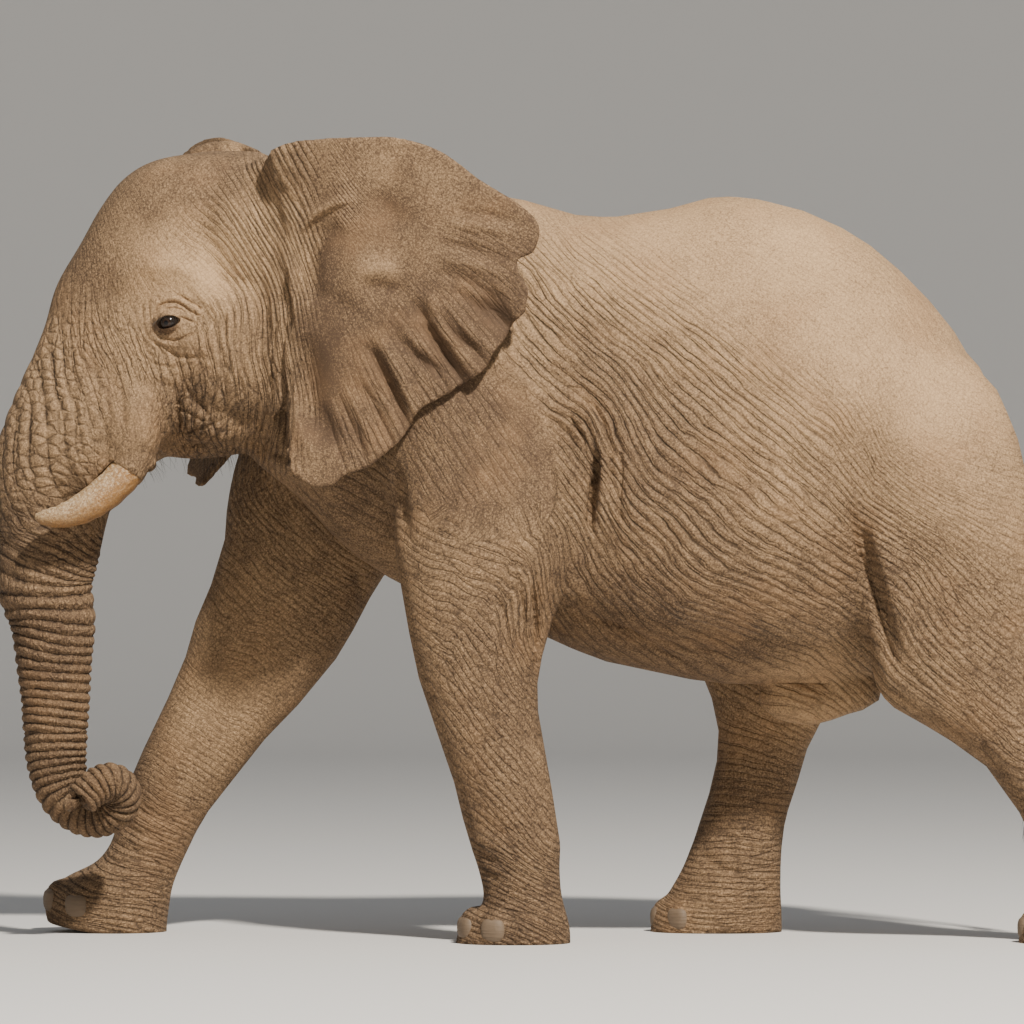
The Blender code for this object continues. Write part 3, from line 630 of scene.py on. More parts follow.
# The lie of the wrinkles: X and Z in hundredths, and the lean of a wrinkle there, in degrees
# below the level going towards the tail.
HEAD_LIE = (
    (-126, 333, 70), (-140, 320, 64), (-137, 302, 62), (-133, 286, 60), (-123, 272, 88),
    (-136, 263, 98), (-160, 335, 45), (-164, 307, 40), (-154, 285, 38), (-156, 273, 57),
    (-150, 269, 74), (-145, 263, 88), (-181, 271, 75), (-180, 262, 62), (-175, 256, 55),
    (-166, 253, 45), (-155, 254, 60), (-175, 279, 50), (-166, 277, 40), (-185, 259, 62),
    (-194, 256, 66), (-203, 242, 60), (-220, 279, 108), (-229, 257, 112), (-235, 227, 100),
    (-198, 279, 82), (-153, 235, 95), (-142, 231, 100), (-164, 238, 60), (-160, 218, 50),
    (-144, 218, 115), (-133, 222, 105), (-207, 227, 62), (-220, 218, 80), (-198, 214, 118),
    (-185, 218, 100), (-175, 227, 85), (-220, 201, 75), (-233, 192, 70), (-237, 166, 20),
)
BODY_LIE = (
    (-14, 289, 60), (9, 289, 35), (30, 291, 27), (2, 270, 50), (25, 266, 43), (45, 266, 40),
    (-3, 247, 62), (14, 242, 64), (30, 239, 52), (52, 239, 42), (19, 219, 80), (30, 214, 68),
    (45, 214, 52), (59, 214, 45), (22, 193, 83), (34, 186, 66), (52, 186, 48), (19, 171, 80),
    (30, 165, 60), (52, 165, 40), (9, 158, 38), (30, 148, 30), (52, 143, 24), (9, 141, 22),
    (37, 132, 20), (59, 130, 16), (-19, 242, 52), (-3, 228, 52), (-19, 221, 35), (-3, 207, 42),
    (-39, 214, 14), (-19, 193, 28), (-39, 193, 10), (-4, 188, 45), (-54, 171, 5), (-26, 165, 12),
    (-8, 166, 98), (-19, 143, 95), (-54, 130, 40), (-39, 130, 50), (-56, 97, 58), (-30, 106, 55),
    (-13, 80, 62), (-30, 63, 50), (-39, 28, 20), (62, 268, 40), (91, 250, 30), (62, 238, 46),
    (91, 224, 42), (62, 209, 48), (106, 231, 38), (91, 195, 42), (113, 202, 45), (62, 180, 38),
    (91, 165, 32), (113, 158, 42), (62, 151, 24), (91, 136, 26), (113, 129, 36), (77, 122, 12),
    (127, 129, 52), (135, 187, 38), (150, 173, 42), (143, 158, 52), (157, 143, 55), (147, 129, 58),
    (172, 165, 40), (186, 180, 22), (179, 195, 12), (164, 209, 14), (150, 202, 28), (186, 221, 5),
    (179, 136, 48), (126, 218, 60), (143, 235, 80), (186, 106, 45), (212, 80, 40), (221, 37, 10),
    (-130, 130, 35), (-160, 100, 35), (-190, 60, 30), (-210, 30, 10), (-120, 170, 40),
    (-190, 90, 30), (-140, 160, 40), (90, 90, 15), (80, 50, 5), (70, 20, 0), (-90, 200, 30),
    (-80, 170, 20), (100, 300, 30), (160, 260, 50), (-20, 320, 50),
)
EAR_LIE = (  # the same on the ear laid flat
    (10, 330, 60), (5, 290, 85), (5, 250, 85), (15, 220, 80), (30, 240, 72), (45, 240, 60),
    (60, 260, 60), (70, 250, 58), (80, 275, 58), (95, 270, 45), (90, 300, 15), (80, 310, 5),
    (50, 320, 40), (60, 335, 20), (30, 300, 60),
)
CELL = 0.035  # of the grids that carry the wrinkles

# X and Z in hundredths, wrinkles to the metre, and, in hundredths, the share of the greatest
# depth and how far the wrinkles run on as long parallel lines.
WRINKLES = np.array((
    (-180, 320, 44, 0, 20), (-160, 332, 40, 12, 50), (-195, 305, 40, 0, 20), (-172, 295, 40, 5, 30),
    (-212, 292, 38, 5, 20), (-148, 325, 40, 45, 80), (-128, 330, 38, 90, 90),
    (-133, 310, 38, 90, 90), (-120, 318, 38, 90, 80), (-108, 330, 38, 70, 80),
    (-150, 305, 42, 40, 80), (-157, 292, 42, 12, 60), (-143, 292, 40, 75, 90),
    (-190, 280, 40, 12, 30), (-175, 270, 42, 40, 50), (-135, 275, 34, 95, 90),
    (-160, 255, 36, 90, 60), (-186, 260, 36, 60, 60), (-200, 262, 34, 65, 40),
    (-215, 272, 30, 55, 30), (-222, 284, 32, 30, 30), (-148, 238, 32, 100, 50),
    (-162, 226, 34, 90, 30), (-227, 255, 25, 80, 90), (-205, 245, 32, 55, 30),
    (-192, 230, 44, 12, 40), (-195, 215, 40, 15, 40), (-220, 230, 25, 85, 90),
    (-235, 220, 24, 90, 90), (-230, 200, 22, 90, 70), (-230, 180, 20, 100, 80),
    (-130, 220, 30, 90, 60), (-100, 195, 30, 80, 80), (-80, 160, 34, 45, 60),
    (-40, 230, 44, 35, 30), (-45, 200, 48, 40, 30), (-50, 160, 46, 45, 30), (-20, 145, 30, 95, 60),
    (-45, 110, 40, 45, 30), (-35, 70, 40, 55, 40), (-30, 30, 34, 90, 40), (-12, 245, 34, 80, 100),
    (-10, 280, 34, 80, 100), (3, 260, 32, 95, 100), (10, 288, 34, 60, 100), (20, 230, 31, 110, 100),
    (30, 275, 33, 75, 100), (45, 250, 31, 105, 100), (45, 210, 31, 110, 90), (30, 180, 31, 110, 90),
    (62, 255, 33, 80, 100), (70, 190, 33, 100, 80), (40, 140, 32, 95, 80), (80, 140, 33, 95, 80),
    (90, 236, 32, 80, 90), (95, 210, 32, 90, 80), (35, 303, 34, 0, 100), (62, 282, 34, 0, 90),
    (85, 266, 34, 0, 80), (50, 320, 38, 0, 30), (100, 310, 38, 0, 30), (110, 255, 38, 0, 80),
    (125, 235, 36, 15, 60), (115, 218, 34, 70, 80), (145, 220, 38, 10, 60), (160, 240, 38, 0, 30),
    (120, 180, 33, 95, 80), (150, 160, 33, 85, 40), (185, 185, 36, 35, 40), (140, 125, 32, 95, 80),
    (190, 110, 36, 60, 40), (220, 50, 36, 70, 40), (-125, 175, 38, 60, 50), (-148, 155, 38, 55, 60),
    (-150, 120, 42, 12, 40), (-175, 100, 42, 15, 40), (-190, 75, 40, 30, 40),
    (-205, 45, 36, 80, 60), (-210, 25, 34, 90, 40), (85, 90, 36, 55, 50), (80, 40, 36, 70, 50),
    (-10, 320, 36, 25, 50), (-70, 330, 36, 30, 50),
)) / (100, 100, 1, 100, 100)
# On the ear laid flat, all in hundredths: along, height, depth and run of its wrinkles,
# lightness, low at the blade's lower front where shadow is painted in, and fine net.
EAR_SKIN = np.array((
    (0, 335, 90, 80, 36, 30), (12, 325, 90, 80, 38, 30), (5, 305, 80, 70, 33, 30),
    (25, 335, 25, 50, 42, 50), (20, 317, 50, 60, 38, 30), (40, 338, 0, 20, 50, 80),
    (70, 330, 0, 20, 46, 80), (50, 315, 0, 20, 24, 80), (28, 302, 0, 20, 28, 40),
    (45, 292, 0, 20, 46, 50), (15, 295, 0, 20, 24, 30), (10, 275, 60, 90, 36, 20),
    (20, 260, 10, 60, 24, 50), (13, 245, 5, 50, 14, 30), (15, 228, 10, 40, 18, 30),
    (12, 208, 35, 40, 40, 40), (30, 225, 75, 50, 28, 50), (50, 240, 75, 50, 27, 50),
    (70, 260, 65, 50, 28, 50), (90, 275, 45, 50, 24, 50), (45, 266, 15, 40, 28, 70),
    (85, 300, 30, 40, 34, 50), (100, 315, 10, 30, 40, 70), (105, 290, 30, 40, 28, 50),
    (60, 300, 0, 20, 34, 80), (65, 280, 20, 40, 24, 60),
)) / 100
MEAN_COUNT, EAR_COUNT = 32.0, 48.0


def flow(lie, low, high, counts=None):
    """A grid whose level lines are the wrinkles, a unit apart at MEAN_COUNT to the metre.

    It climbs across the wrinkles as evenly as the wanted slopes allow, by least squares, and
    the slopes are stretched a little each time round to what the grid could give.
    """
    columns, rows = (round((b - a) / CELL) + 1 for a, b in zip(low, high))
    spots = (low[0] + CELL * np.arange(columns), low[1] + CELL * np.arange(rows))
    spots = np.stack(np.meshgrid(*spots, indexing="ij"), axis=2).reshape(-1, 2)
    lean = [(x / 100, z / 100, math.radians(below)) for x, z, below in lie]
    lean = [(x, z, math.sin(below), math.cos(below)) for x, z, below in lean]
    wanted = spread_over(lean, spots, 3.5).reshape(columns, rows, 2)
    wanted /= np.linalg.norm(wanted, axis=2, keepdims=True)
    close = np.ones((columns, rows, 1))
    if counts is not None:
        close = spread_over(counts, spots)[:, :1].reshape(columns, rows, 1)
        close /= MEAN_COUNT
    stretch = close
    grid = np.zeros((columns, rows))

    def slopes(of):
        return np.diff(of, axis=0) / CELL, np.diff(of, axis=1) / CELL

    def gathered(along, up):
        total = np.zeros((columns, rows))
        total[:-1] -= along
        total[1:] += along
        total[:, :-1] -= up
        total[:, 1:] += up
        return total / CELL

    for _ in range(8):
        aim = wanted * stretch
        along, up = aim[..., 0], aim[..., 1]
        right = gathered((along[1:] + along[:-1]) / 2, (up[:, 1:] + up[:, :-1]) / 2)
        left = right - gathered(*slopes(grid))
        step = left.copy()
        size = (left**2).sum()
        for _ in range(260):
            pushed = gathered(*slopes(step))
            length = size / (step * pushed).sum()
            grid += length * step
            left -= length * pushed
            size, before = (left**2).sum(), size
            step = left + step * size / before
        got = np.stack(np.gradient(grid, CELL), axis=2)
        stretch = np.clip((got * wanted).sum(axis=2, keepdims=True), 0.65 * close, 1.5 * close)
    return grid, low


def read_flow(field, places):
    """Values of a grid at places between its points."""
    grid, low = field
    at = (places - np.array(low)) / CELL
    at = np.clip(at, 0, np.array(grid.shape) - 1.001)
    i, j = at.astype(int).T
    u, v = (at - at.astype(int)).T
    top = grid[i, j + 1] * (1 - u) + grid[i + 1, j + 1] * u
    return (grid[i, j] * (1 - u) + grid[i + 1, j] * u) * (1 - v) + top * v


whole_flow = flow(HEAD_LIE + BODY_LIE, (-2.75, -0.1), (2.65, 3.75), WRINKLES)
ear_flow = flow(EAR_LIE, (-0.3, 1.8), (1.4, 3.7))
# The trunk's rings: the height they start at, how many to the metre, and more further down.
RINGS_FROM, RING_COUNT, RING_CLOSER = 1.80, 17.5, 4.5
# Slow bends of the lines: radians to the metre in X, Y and Z, where they start, how strong.
BENDS = np.array([[5.1, -7.3, 3.1], [-4.2, 6.1, 8.3], [11.0, 9.0, -6.0], [-15.0, 12.0, 13.0]])
BEND_STARTS, BEND_SIZES = np.array([0.3, 1.9, 4.1, 2.2]), np.array([0.40, 0.30, 0.17, 0.09])


def wrinkle_flow(points):
    """Phase, depth and run of the wrinkles at points of the skin, ear and trunk, and way along."""
    blade, flat = blade_share(points)
    side_view = points[:, [0, 2]]
    _, depth, run = spread_over(WRINKLES, side_view).T
    phase = read_flow(whole_flow, side_view) * MEAN_COUNT
    reach, around, on_trunk = along_trunk(points)
    start = np.searchsorted(-trunk_line[:, 2], -RINGS_FROM)
    first = read_flow(whole_flow, trunk_line[start : start + 1, [0, 2]])[0] * MEAN_COUNT
    passed = reach - trunk_length[start]
    down = first - passed * (RING_COUNT + RING_CLOSER * np.maximum(passed, 0))
    down = down + (points[:, 0] + 2.28) * 3.5 * (passed < 0.9)
    phase = phase * (1 - on_trunk) + down * on_trunk
    depth = depth * (1 - on_trunk) + on_trunk
    run = run * (1 - on_trunk) + on_trunk
    phase += np.sin(points @ BENDS.T + BEND_STARTS) @ BEND_SIZES * (1 - 0.6 * on_trunk)
    own = blade * graded(flat[:, 0] - 0.08, 0.22)
    ear_depth, ear_run, *_ = spread_over(EAR_SKIN, flat).T
    fade = np.abs(2 * own - 1) ** 0.7
    phase = np.where(own > 0.5, read_flow(ear_flow, flat) * EAR_COUNT, phase)
    depth = np.where(own > 0.5, ear_depth, depth * (1 - blade) + ear_depth * blade) * fade
    run = run * (1 - own) + ear_run * own
    for side in SIDES:
        gap = np.linalg.norm(points - np.array(eye_centre(side)), axis=1)
        depth = depth * (1 - 0.85 * bell(gap, 0.12))
    front = graded(-1.75 - points[:, 0], 0.3) * graded(points[:, 2] - 1.35, 0.2)
    across = (points[:, 0] + 1.9) * (1 - front) - points[:, 2] * (1 + 0.1 * front)
    across = across * (1 - on_trunk) + (1.6 * around - 1.87) * on_trunk
    return phase, depth, run, blade, on_trunk, across


# Folds seen from the side. Those of the first table lie on both sides of the animal, those of
# the others on its left and its right only.
SIDE_FOLDS = folds(
    (22, 60, -2000, 2860, -1860, 2950, -1700, 2940, -1550, 2840),
    (-22, 110, -1620, 3120, -1500, 2980, -1420, 2860),
    (16, 50, -1660, 2860, -1520, 2780, -1420, 2620),
    (-20, 20, -1270, 2950, -1240, 2720, -1270, 2500, -1320, 2360),
    (-14, 15, -1330, 2880, -1310, 2660, -1350, 2440),
    (-16, 14, -1440, 2740, -1400, 2560, -1440, 2400, -1500, 2300),
    (-12, 12, -1530, 2620, -1490, 2480, -1530, 2340),
    (14, 20, -1490, 2680, -1450, 2500, -1490, 2320),
    (-24, 18, -1800, 2440, -1730, 2420, -1700, 2320, -1720, 2220, -1800, 2100),
    (20, 35, -1600, 2190, -1440, 2200, -1300, 2270, -1240, 2400),
    (-16, 20, -2020, 2500, -1960, 2400, -1940, 2260, -1990, 2120),
    (-12, 18, -2100, 2600, -2060, 2400, -2100, 2200),
    (-14, 20, -2240, 2660, -2160, 2400, -2180, 2120),
    (-20, 22, -1500, 2140, -1360, 2140, -1220, 2100),
    (-20, 22, -1420, 2200, -1280, 2120, -1140, 2060),
    (20, 30, -1460, 2170, -1320, 2120, -1180, 2060),
    (12, 90, 600, 3180, 1100, 3080, 1400, 2860, 1550, 2600),
    (-14, 80, 750, 3000, 1120, 2880, 1340, 2660),
)
LEFT_FOLDS = folds(
    (-26, 24, 80, 2200, 104, 2100, 106, 1990, 90, 1840, 90, 1760),
    (22, 24, 60, 2360, 130, 2220, 145, 2080, 140, 1900, 140, 1760),
    (20, 60, 0, 2580, 160, 2420, 260, 2220, 260, 2000, 220, 1780),
    (-30, 50, -100, 2300, 0, 2200, 50, 2050, 40, 1850),
    (-35, 34, 1220, 1920, 1270, 1740, 1360, 1400, 1420, 1200),
    (20, 45, 1280, 1940, 1340, 1720, 1440, 1400, 1500, 1220),
    (-20, 26, -160, 1620, -140, 1500, -130, 1360, -140, 1260),
    (18, 22, -190, 1620, -170, 1480, -170, 1340), (-16, 14, -320, 1540, -280, 1420, -270, 1300),
    (-20, 26, -80, 1460, 180, 1380, 340, 1280, 540, 1200),
    (-14, 18, 60, 1420, 300, 1330, 560, 1270, 800, 1260),
    (-14, 14, -400, 400, -340, 360, -260, 360), (-16, 14, -400, 330, -310, 280, -230, 340),
    (-12, 12, -380, 520, -280, 480, -200, 500), (-30, 40, -760, 2100, -740, 1900, -700, 1720),
)
RIGHT_FOLDS = folds(
    (-16, 16, -2040, 500, -1940, 460, -1800, 420), (-14, 14, -2080, 420, -1980, 380, -1840, 360),
    (-14, 14, -2000, 580, -1880, 540, -1760, 500), (-16, 14, 580, 380, 660, 300, 800, 260),
    (-14, 12, 700, 450, 750, 320, 740, 200), (-20, 30, -980, 1700, -900, 1500, -880, 1360),
)


def facing(values, low, high):
    """0 up to low and 1 from high."""
    return graded(values - low, high - low)


def at_trunk_root(points):
    """1 on the front of the face between brow and tusks, where deep cracks cross."""
    x, _, z = points.T
    return facing(-x, 1.95, 2.2) * facing(z, 1.5, 1.8) * facing(-z, -2.9, -2.4)


mesh = skin.data
points = points_of(mesh)
blade, _ = blade_share(points)
coil = (points[:, 2] < 1.0) & (points[:, 2] > 0.43) & (points[:, 0] < -1.8) & (points[:, 1] < 0.2)
weigh(skin, "soft", 1 - np.maximum(blade, 0.7 * coil))
smooth = skin.modifiers.new("smooth", "SMOOTH")
smooth.factor = 0.5
smooth.iterations = round(5 * (0.022 / VOXEL) ** 2)
smooth.vertex_group = "soft"
crisp = skin.modifiers.new("crisp", "SMOOTH")
crisp.factor = 0.5
crisp.iterations = 3
settle(skin)

RING_DEPTH, LINE_DEPTH, ROOT_DEPTH = 0.013, 0.0008, 0.006
mesh = skin.data
points, normals = points_of(mesh), normals_of(mesh)
phase, depth, run, blade, on_trunk, _ = wrinkle_flow(points)
side_view = points[:, [0, 2]]
clear = 1 - blade
y, sideways = points[:, 1], normals[:, 1]
lift = path_folds(side_view, SIDE_FOLDS) * facing(np.abs(sideways), 0.15, 0.6) * clear
lift *= 1 - on_trunk
lift += path_folds(side_view, LEFT_FOLDS) * facing(-sideways, 0.05, 0.5) * clear * (y < 0)
lift += path_folds(side_view, RIGHT_FOLDS) * facing(np.abs(sideways), 0.05, 0.5) * (y > 0)
folded = np.abs(lift)
ridge = np.abs(np.sin(np.pi * phase)) ** 0.75 - 0.7
cracked = LINE_DEPTH * depth * run + ROOT_DEPTH * at_trunk_root(points)
lift += (RING_DEPTH * on_trunk + cracked * clear * (1 - on_trunk)) * ridge
set_points(mesh, points + normals * lift[:, None])

# The two nostrils in the end of the trunk.
NOSTRIL_APART, NOSTRIL_RADIUS, NOSTRIL_DEPTH = 0.030, 0.020, 0.06
points = points_of(mesh)
tip, heading = trunk_line[-1], trunk_line[-1] - trunk_line[-12]
heading /= np.linalg.norm(heading)
for side in SIDES:
    offset = points - tip - np.array([0.0, NOSTRIL_APART * side, 0.0])
    away = np.linalg.norm(offset - np.outer(offset @ heading, heading), axis=1)
    pit = NOSTRIL_DEPTH * bell(away, NOSTRIL_RADIUS)
    pit *= np.abs(offset @ heading) < NOSTRIL_DEPTH
    points -= heading * pit[:, None]
set_points(mesh, points)

# The collar of skin round each tusk.
COLLAR_HEIGHT, COLLAR_WIDTH, COLLAR_GAP = 0.009, 0.030, 0.004
points = points_of(mesh)
tusk_line = fair(TUSK, 120)
for side in SIDES:
    line = tusk_middle(side, 120)
    near = np.flatnonzero((np.linalg.norm(points - line[60], axis=1) < 0.5))
    gap = np.linalg.norm(points[near, None] - line[None], axis=2)
    nearest = gap.argmin(axis=1)
    axis = np.gradient(line, axis=0)[nearest]
    axis /= np.linalg.norm(axis, axis=1, keepdims=True)
    out = points[near] - line[nearest]
    out -= axis * (out * axis).sum(axis=1, keepdims=True)
    away = np.linalg.norm(out, axis=1) + 1e-9
    radius = tusk_line[nearest, 3] + COLLAR_GAP
    collar = COLLAR_HEIGHT * bell(away - radius, COLLAR_WIDTH) * (nearest < 70)
    inside = (away < radius) & (nearest < 100)
    points[near] += axis * collar[:, None]
    points[near[inside]] += (out / away[:, None] * (radius - away)[:, None])[inside]
set_points(mesh, points)

# Fewer triangles where the skin is plain.
face = graded(-1.15 - points[:, 0], 0.3) * graded(points[:, 2] - 1.9, 0.2)
feet = 0.6 * graded(0.5 - points[:, 2], 0.15)
near_ear = 0.9 * blade * (points[:, 1] < 0)
keep = np.maximum.reduce([0.85 * face, on_trunk, near_ear, graded(folded, 0.008), feet])
weigh(skin, "plain", 1 - 0.9 * keep)
thin = skin.modifiers.new("thin", "DECIMATE")
thin.ratio = SKIN_TRIANGLES / (2 * len(mesh.polygons)) * 0.71
thin.vertex_group = "plain"
settle(skin)



def cut_off(bm, place, heading):
    """Take away what lies beyond a plane and close the cut."""
    whole = everything(bm)
    bmesh.ops.bisect_plane(bm, geom=whole, plane_co=place, plane_no=heading, clear_outer=True)
    bmesh.ops.holes_fill(bm, edges=[e for e in bm.edges if e.is_boundary])


def refine(bm, chosen):
    """Halve the edges that are chosen, and part their faces into triangles."""
    edges = [edge for edge, taken in zip(bm.edges, chosen) if taken]
    bmesh.ops.subdivide_edges(bm, edges=edges, cuts=1, use_grid_fill=True)
    bmesh.ops.triangulate(bm, faces=[f for f in bm.faces if len(f.verts) > 3])


whole = bmesh.new()
whole.from_mesh(skin.data)
cut_off(whole, (0, 0, 0), (0, 0, -1))
bmesh.ops.triangulate(whole, faces=whole.faces)
for reach in (0.280, 0.150, 0.100):
    for side in SIDES:
        centre = eye_centre(side)
        refine(whole, [all((v.co - centre).length < reach for v in e.verts) for e in whole.edges])
whole.to_mesh(skin.data)
whole.free()

# Narrow creases seen from the side. The first table's are on both sides.
SHARP_FOLDS = folds(
    (-16, 6, -1706, 2254, -1714, 2341, -1684, 2385, -1653, 2459),
    (-12, 6, -1680, 2420, -1628, 2359, -1580, 2310, -1560, 2250),
    (-12, 6, -1715, 2330, -1650, 2298, -1606, 2271, -1550, 2275),
    (-13, 6, -1750, 2215, -1650, 2228, -1562, 2250, -1460, 2310),
    (-13, 6, -1775, 2175, -1689, 2162, -1593, 2175, -1490, 2225),
    (-10, 6, -1584, 2350, -1615, 2298, -1680, 2245),
    (-10, 6, -1530, 2360, -1545, 2280, -1600, 2210),
    (-10, 6, -1640, 2300, -1640, 2240, -1620, 2180),
    (-14, 8, -1290, 2900, -1275, 2700, -1290, 2480, -1320, 2320),
)
SHARP_LEFT_FOLDS = folds(
    (-20, 9, -130, 2720, -70, 2540, 10, 2440, 90, 2360, 155, 2244, 181, 2134, 178, 1920),
    (-56, 11, 112, 2130, 109, 2050, 98, 1956, 89, 1870, 88, 1780),
    (-16, 7, -60, 2400, 0, 2280, 62, 2180, 76, 2080),
    (-16, 7, 215, 2200, 225, 2050, 215, 1880, 250, 1740),
    (-34, 9, -155, 1560, -140, 1420, -135, 1300, -150, 1200),
    (-24, 8, -215, 1560, -195, 1440, -200, 1320), (-18, 8, -85, 1600, -80, 1480, -90, 1360),
    (-34, 11, 1205, 1930, 1254, 1728, 1345, 1390, 1420, 1170),
    (-16, 8, 1260, 1800, 1310, 1600, 1390, 1360),
    (-14, 7, 50, 1420, 260, 1360, 410, 1260, 620, 1180),
)
EAR_CREASES = folds(  # where the near ear grows from the head: rim, hollow's fold, pleats
    (-18, 7, -1235.5, 3000, -1235.5, 2894, -1225, 2811, -1209, 2685, -1199, 2570),
    (-20, 7, -1160, 3050, -1167, 2978, -1172, 2894, -1178, 2780),
    (-13, 14, -920, 3204, -1005, 3177, -1078, 3141, -1125, 3099, -1165, 3045),
    (10, 14, -935, 3240, -1015, 3212, -1095, 3172, -1150, 3124),
    (10, 12, -1205, 3020, -1203, 2900, -1198, 2790),
    (-14, 7, -1319, 3387, -1309, 3303, -1272, 3219, -1251, 3125, -1222, 3030),
    (-12, 7, -1230, 3398, -1225, 3314, -1183, 3219, -1149, 3157),
    (-10, 6, -1270, 3400, -1262, 3310, -1228, 3219, -1200, 3120),
    (-30, 9, -1262, 2700, -1254, 2525, -1243, 2398, -1248, 2314, -1290, 2245),
    (-12, 6, -1230, 2700, -1214, 2519, -1204, 2411, -1209, 2300),
)
mesh = skin.data
points = points_of(mesh)
flat = points[:, [0, 2]]
wider = [(-0.03, 3 * width, *path) for _, width, *path in SHARP_FOLDS]
crowd = -path_folds(flat, wider)
wider = [(-0.03, 2.4 * width, *path) for _, width, *path in SHARP_LEFT_FOLDS + EAR_CREASES]
crowd -= path_folds(flat, wider) * (points[:, 1] < 0)
marked = set(np.flatnonzero((crowd > 0.012) & (np.abs(points[:, 1]) > 0.12)).tolist())
whole = bmesh.new()
whole.from_mesh(mesh)
refine(whole, [all(v.index in marked for v in e.verts) for e in whole.edges])
whole.to_mesh(mesh)
whole.free()
points, normals = points_of(mesh), normals_of(mesh)
flat = points[:, [0, 2]]
sharp = path_folds(flat, SHARP_FOLDS) * facing(np.abs(normals[:, 1]), 0.15, 0.5)
sharp += path_folds(flat, SHARP_LEFT_FOLDS) * facing(-normals[:, 1], 0.05, 0.4)
sharp *= 1 - blade_share(points)[0]
sharp += path_folds(flat, EAR_CREASES) * facing(-normals[:, 1], 0.05, 0.4) * (points[:, 1] < -0.2)
set_points(mesh, points + normals * sharp[:, None])

# Round the eyes, in the plane of each: towards the tail and up from the middle of the eye.
LID_FOLDS = folds(
    (-13, 6, -81, -18, -70, 33, -43, 73, -7, 86, 28, 86, 60, 71, 95, 44, 144, 22, 180, -5),
    (6, 11, -66, 78, -12, 106, 36, 104, 100, 62, 165, 30),
    (-11, 6, 10, 122, 46, 114, 86, 92, 125, 62, 170, 34, 205, -6),
    (-7, 5, -34, 44, -12, 58, 22, 62, 55, 54, 80, 34), (-12, 6, 40, 20, 70, 14, 95, 4, 128, -12),
    (-11, 6, -81, -18, -65, -47, -43, -64, -12, -75, 24, -82, 55, -74, 88, -60, 140, -51),
    (6, 10, -60, -78, -10, -100, 45, -105, 110, -85),
    (-15, 8, -56, -85, -12, -122, 26, -147, 77, -156, 179, -156),
    (-10, 6, -78, -62, -61, -96, -30, -131, -12, -154),
    (-12, 7, -130, -62, -112, -102, -94, -136, -67, -158),
    (-12, 7, -161, -56, -143, -102, -123, -145, -103, -182), (-9, 6, -94, 109, -90, 33, -81, -5),
    (-9, 6, -123, 93, -121, 40, -116, 4),
    (-10, 6, -101, -151, -83, -178, -43, -191, 15, -196, 55, -205),
    (-9, 6, 108, 89, 140, 62, 172, 40), (-9, 6, 144, 84, 180, 54, 215, 20),
    (-8, 7, 259, 60, 252, -40, 259, -130), (-8, 7, 294, 60, 288, -40, 290, -130),
)
LID_RADIUS, LID_DEPTH = 0.051, 0.034
SLIT_MIDDLE, SLIT_HALF, UPPER_LID, LOWER_LID, SLIT_TILT = -0.004, 0.057, 0.028, 0.029, 0.16
GAZE_TURN = 0.10  # the lids' plane, turned forward


def arc(radius, start, end, squash=0.85):
    """Part of a flattened ring round the eye, its bearings in degrees from the tail upwards."""
    bearings = np.radians(np.linspace(start, end, 9))
    return [(radius * math.cos(b), radius * squash * math.sin(b)) for b in bearings]


for k in range(6):  # arcs behind the eye, towards the ear
    path = arc(0.125 + 0.026 * k, -48 + 5 * k + 6 * math.sin(3 * k), 58 - 4 * k)
    LID_FOLDS.append((-0.0055 - 0.0015 * math.sin(7 * k), 0.0055, *path))
for k in range(6):  # and below and before it
    path = arc(0.115 + 0.025 * k, 168 + 3 * k, 262 + 8 * math.sin(2 * k), 1.0)
    LID_FOLDS.append((-0.005 - 0.001 * math.sin(5 * k), 0.0055, *path))
mesh = skin.data
mesh.update()
for side in SIDES:
    points = points_of(mesh)
    outward = np.array([-GAZE_TURN, side, 0.0])
    outward /= np.linalg.norm(outward)
    rear = np.array([1.0, side * GAZE_TURN, 0.0])
    rear /= np.linalg.norm(rear)
    offset = points - np.array(eye_centre(side))
    across, up, out = offset @ rear, offset[:, 2], offset @ outward
    beside = np.hypot(across, up)
    near = (beside < 0.40) & (out > -0.25) & (out < 0.12)
    flat = np.column_stack([across, up])
    rise = 0.030 * bell(beside, 0.085)  # the swelling that the eye sits in
    rise = rise + path_folds(flat, LID_FOLDS) * (beside < 0.38)
    out = out + rise * near
    globe = np.sqrt(np.maximum(LID_RADIUS**2 - beside**2, 0))
    bulge = near & (beside < LID_RADIUS) & (out < globe)
    out[bulge] = globe[bulge]
    tilt = up - SLIT_TILT * across
    almond = np.maximum(1 - ((across - SLIT_MIDDLE) / SLIT_HALF) ** 2, 0)
    opening = np.minimum(UPPER_LID * almond**0.8 - tilt, tilt + LOWER_LID * almond**0.7)
    opening = opening * (almond > 0)
    open_here = near & (opening > 0.0) & (beside < LID_RADIUS)
    sunk = np.sqrt(np.maximum(LID_DEPTH**2 - beside**2, 0)) - 0.004
    out[open_here] = sunk[open_here]
    points[near] += (outward * (out - offset @ outward)[:, None])[near]
    set_points(mesh, points)

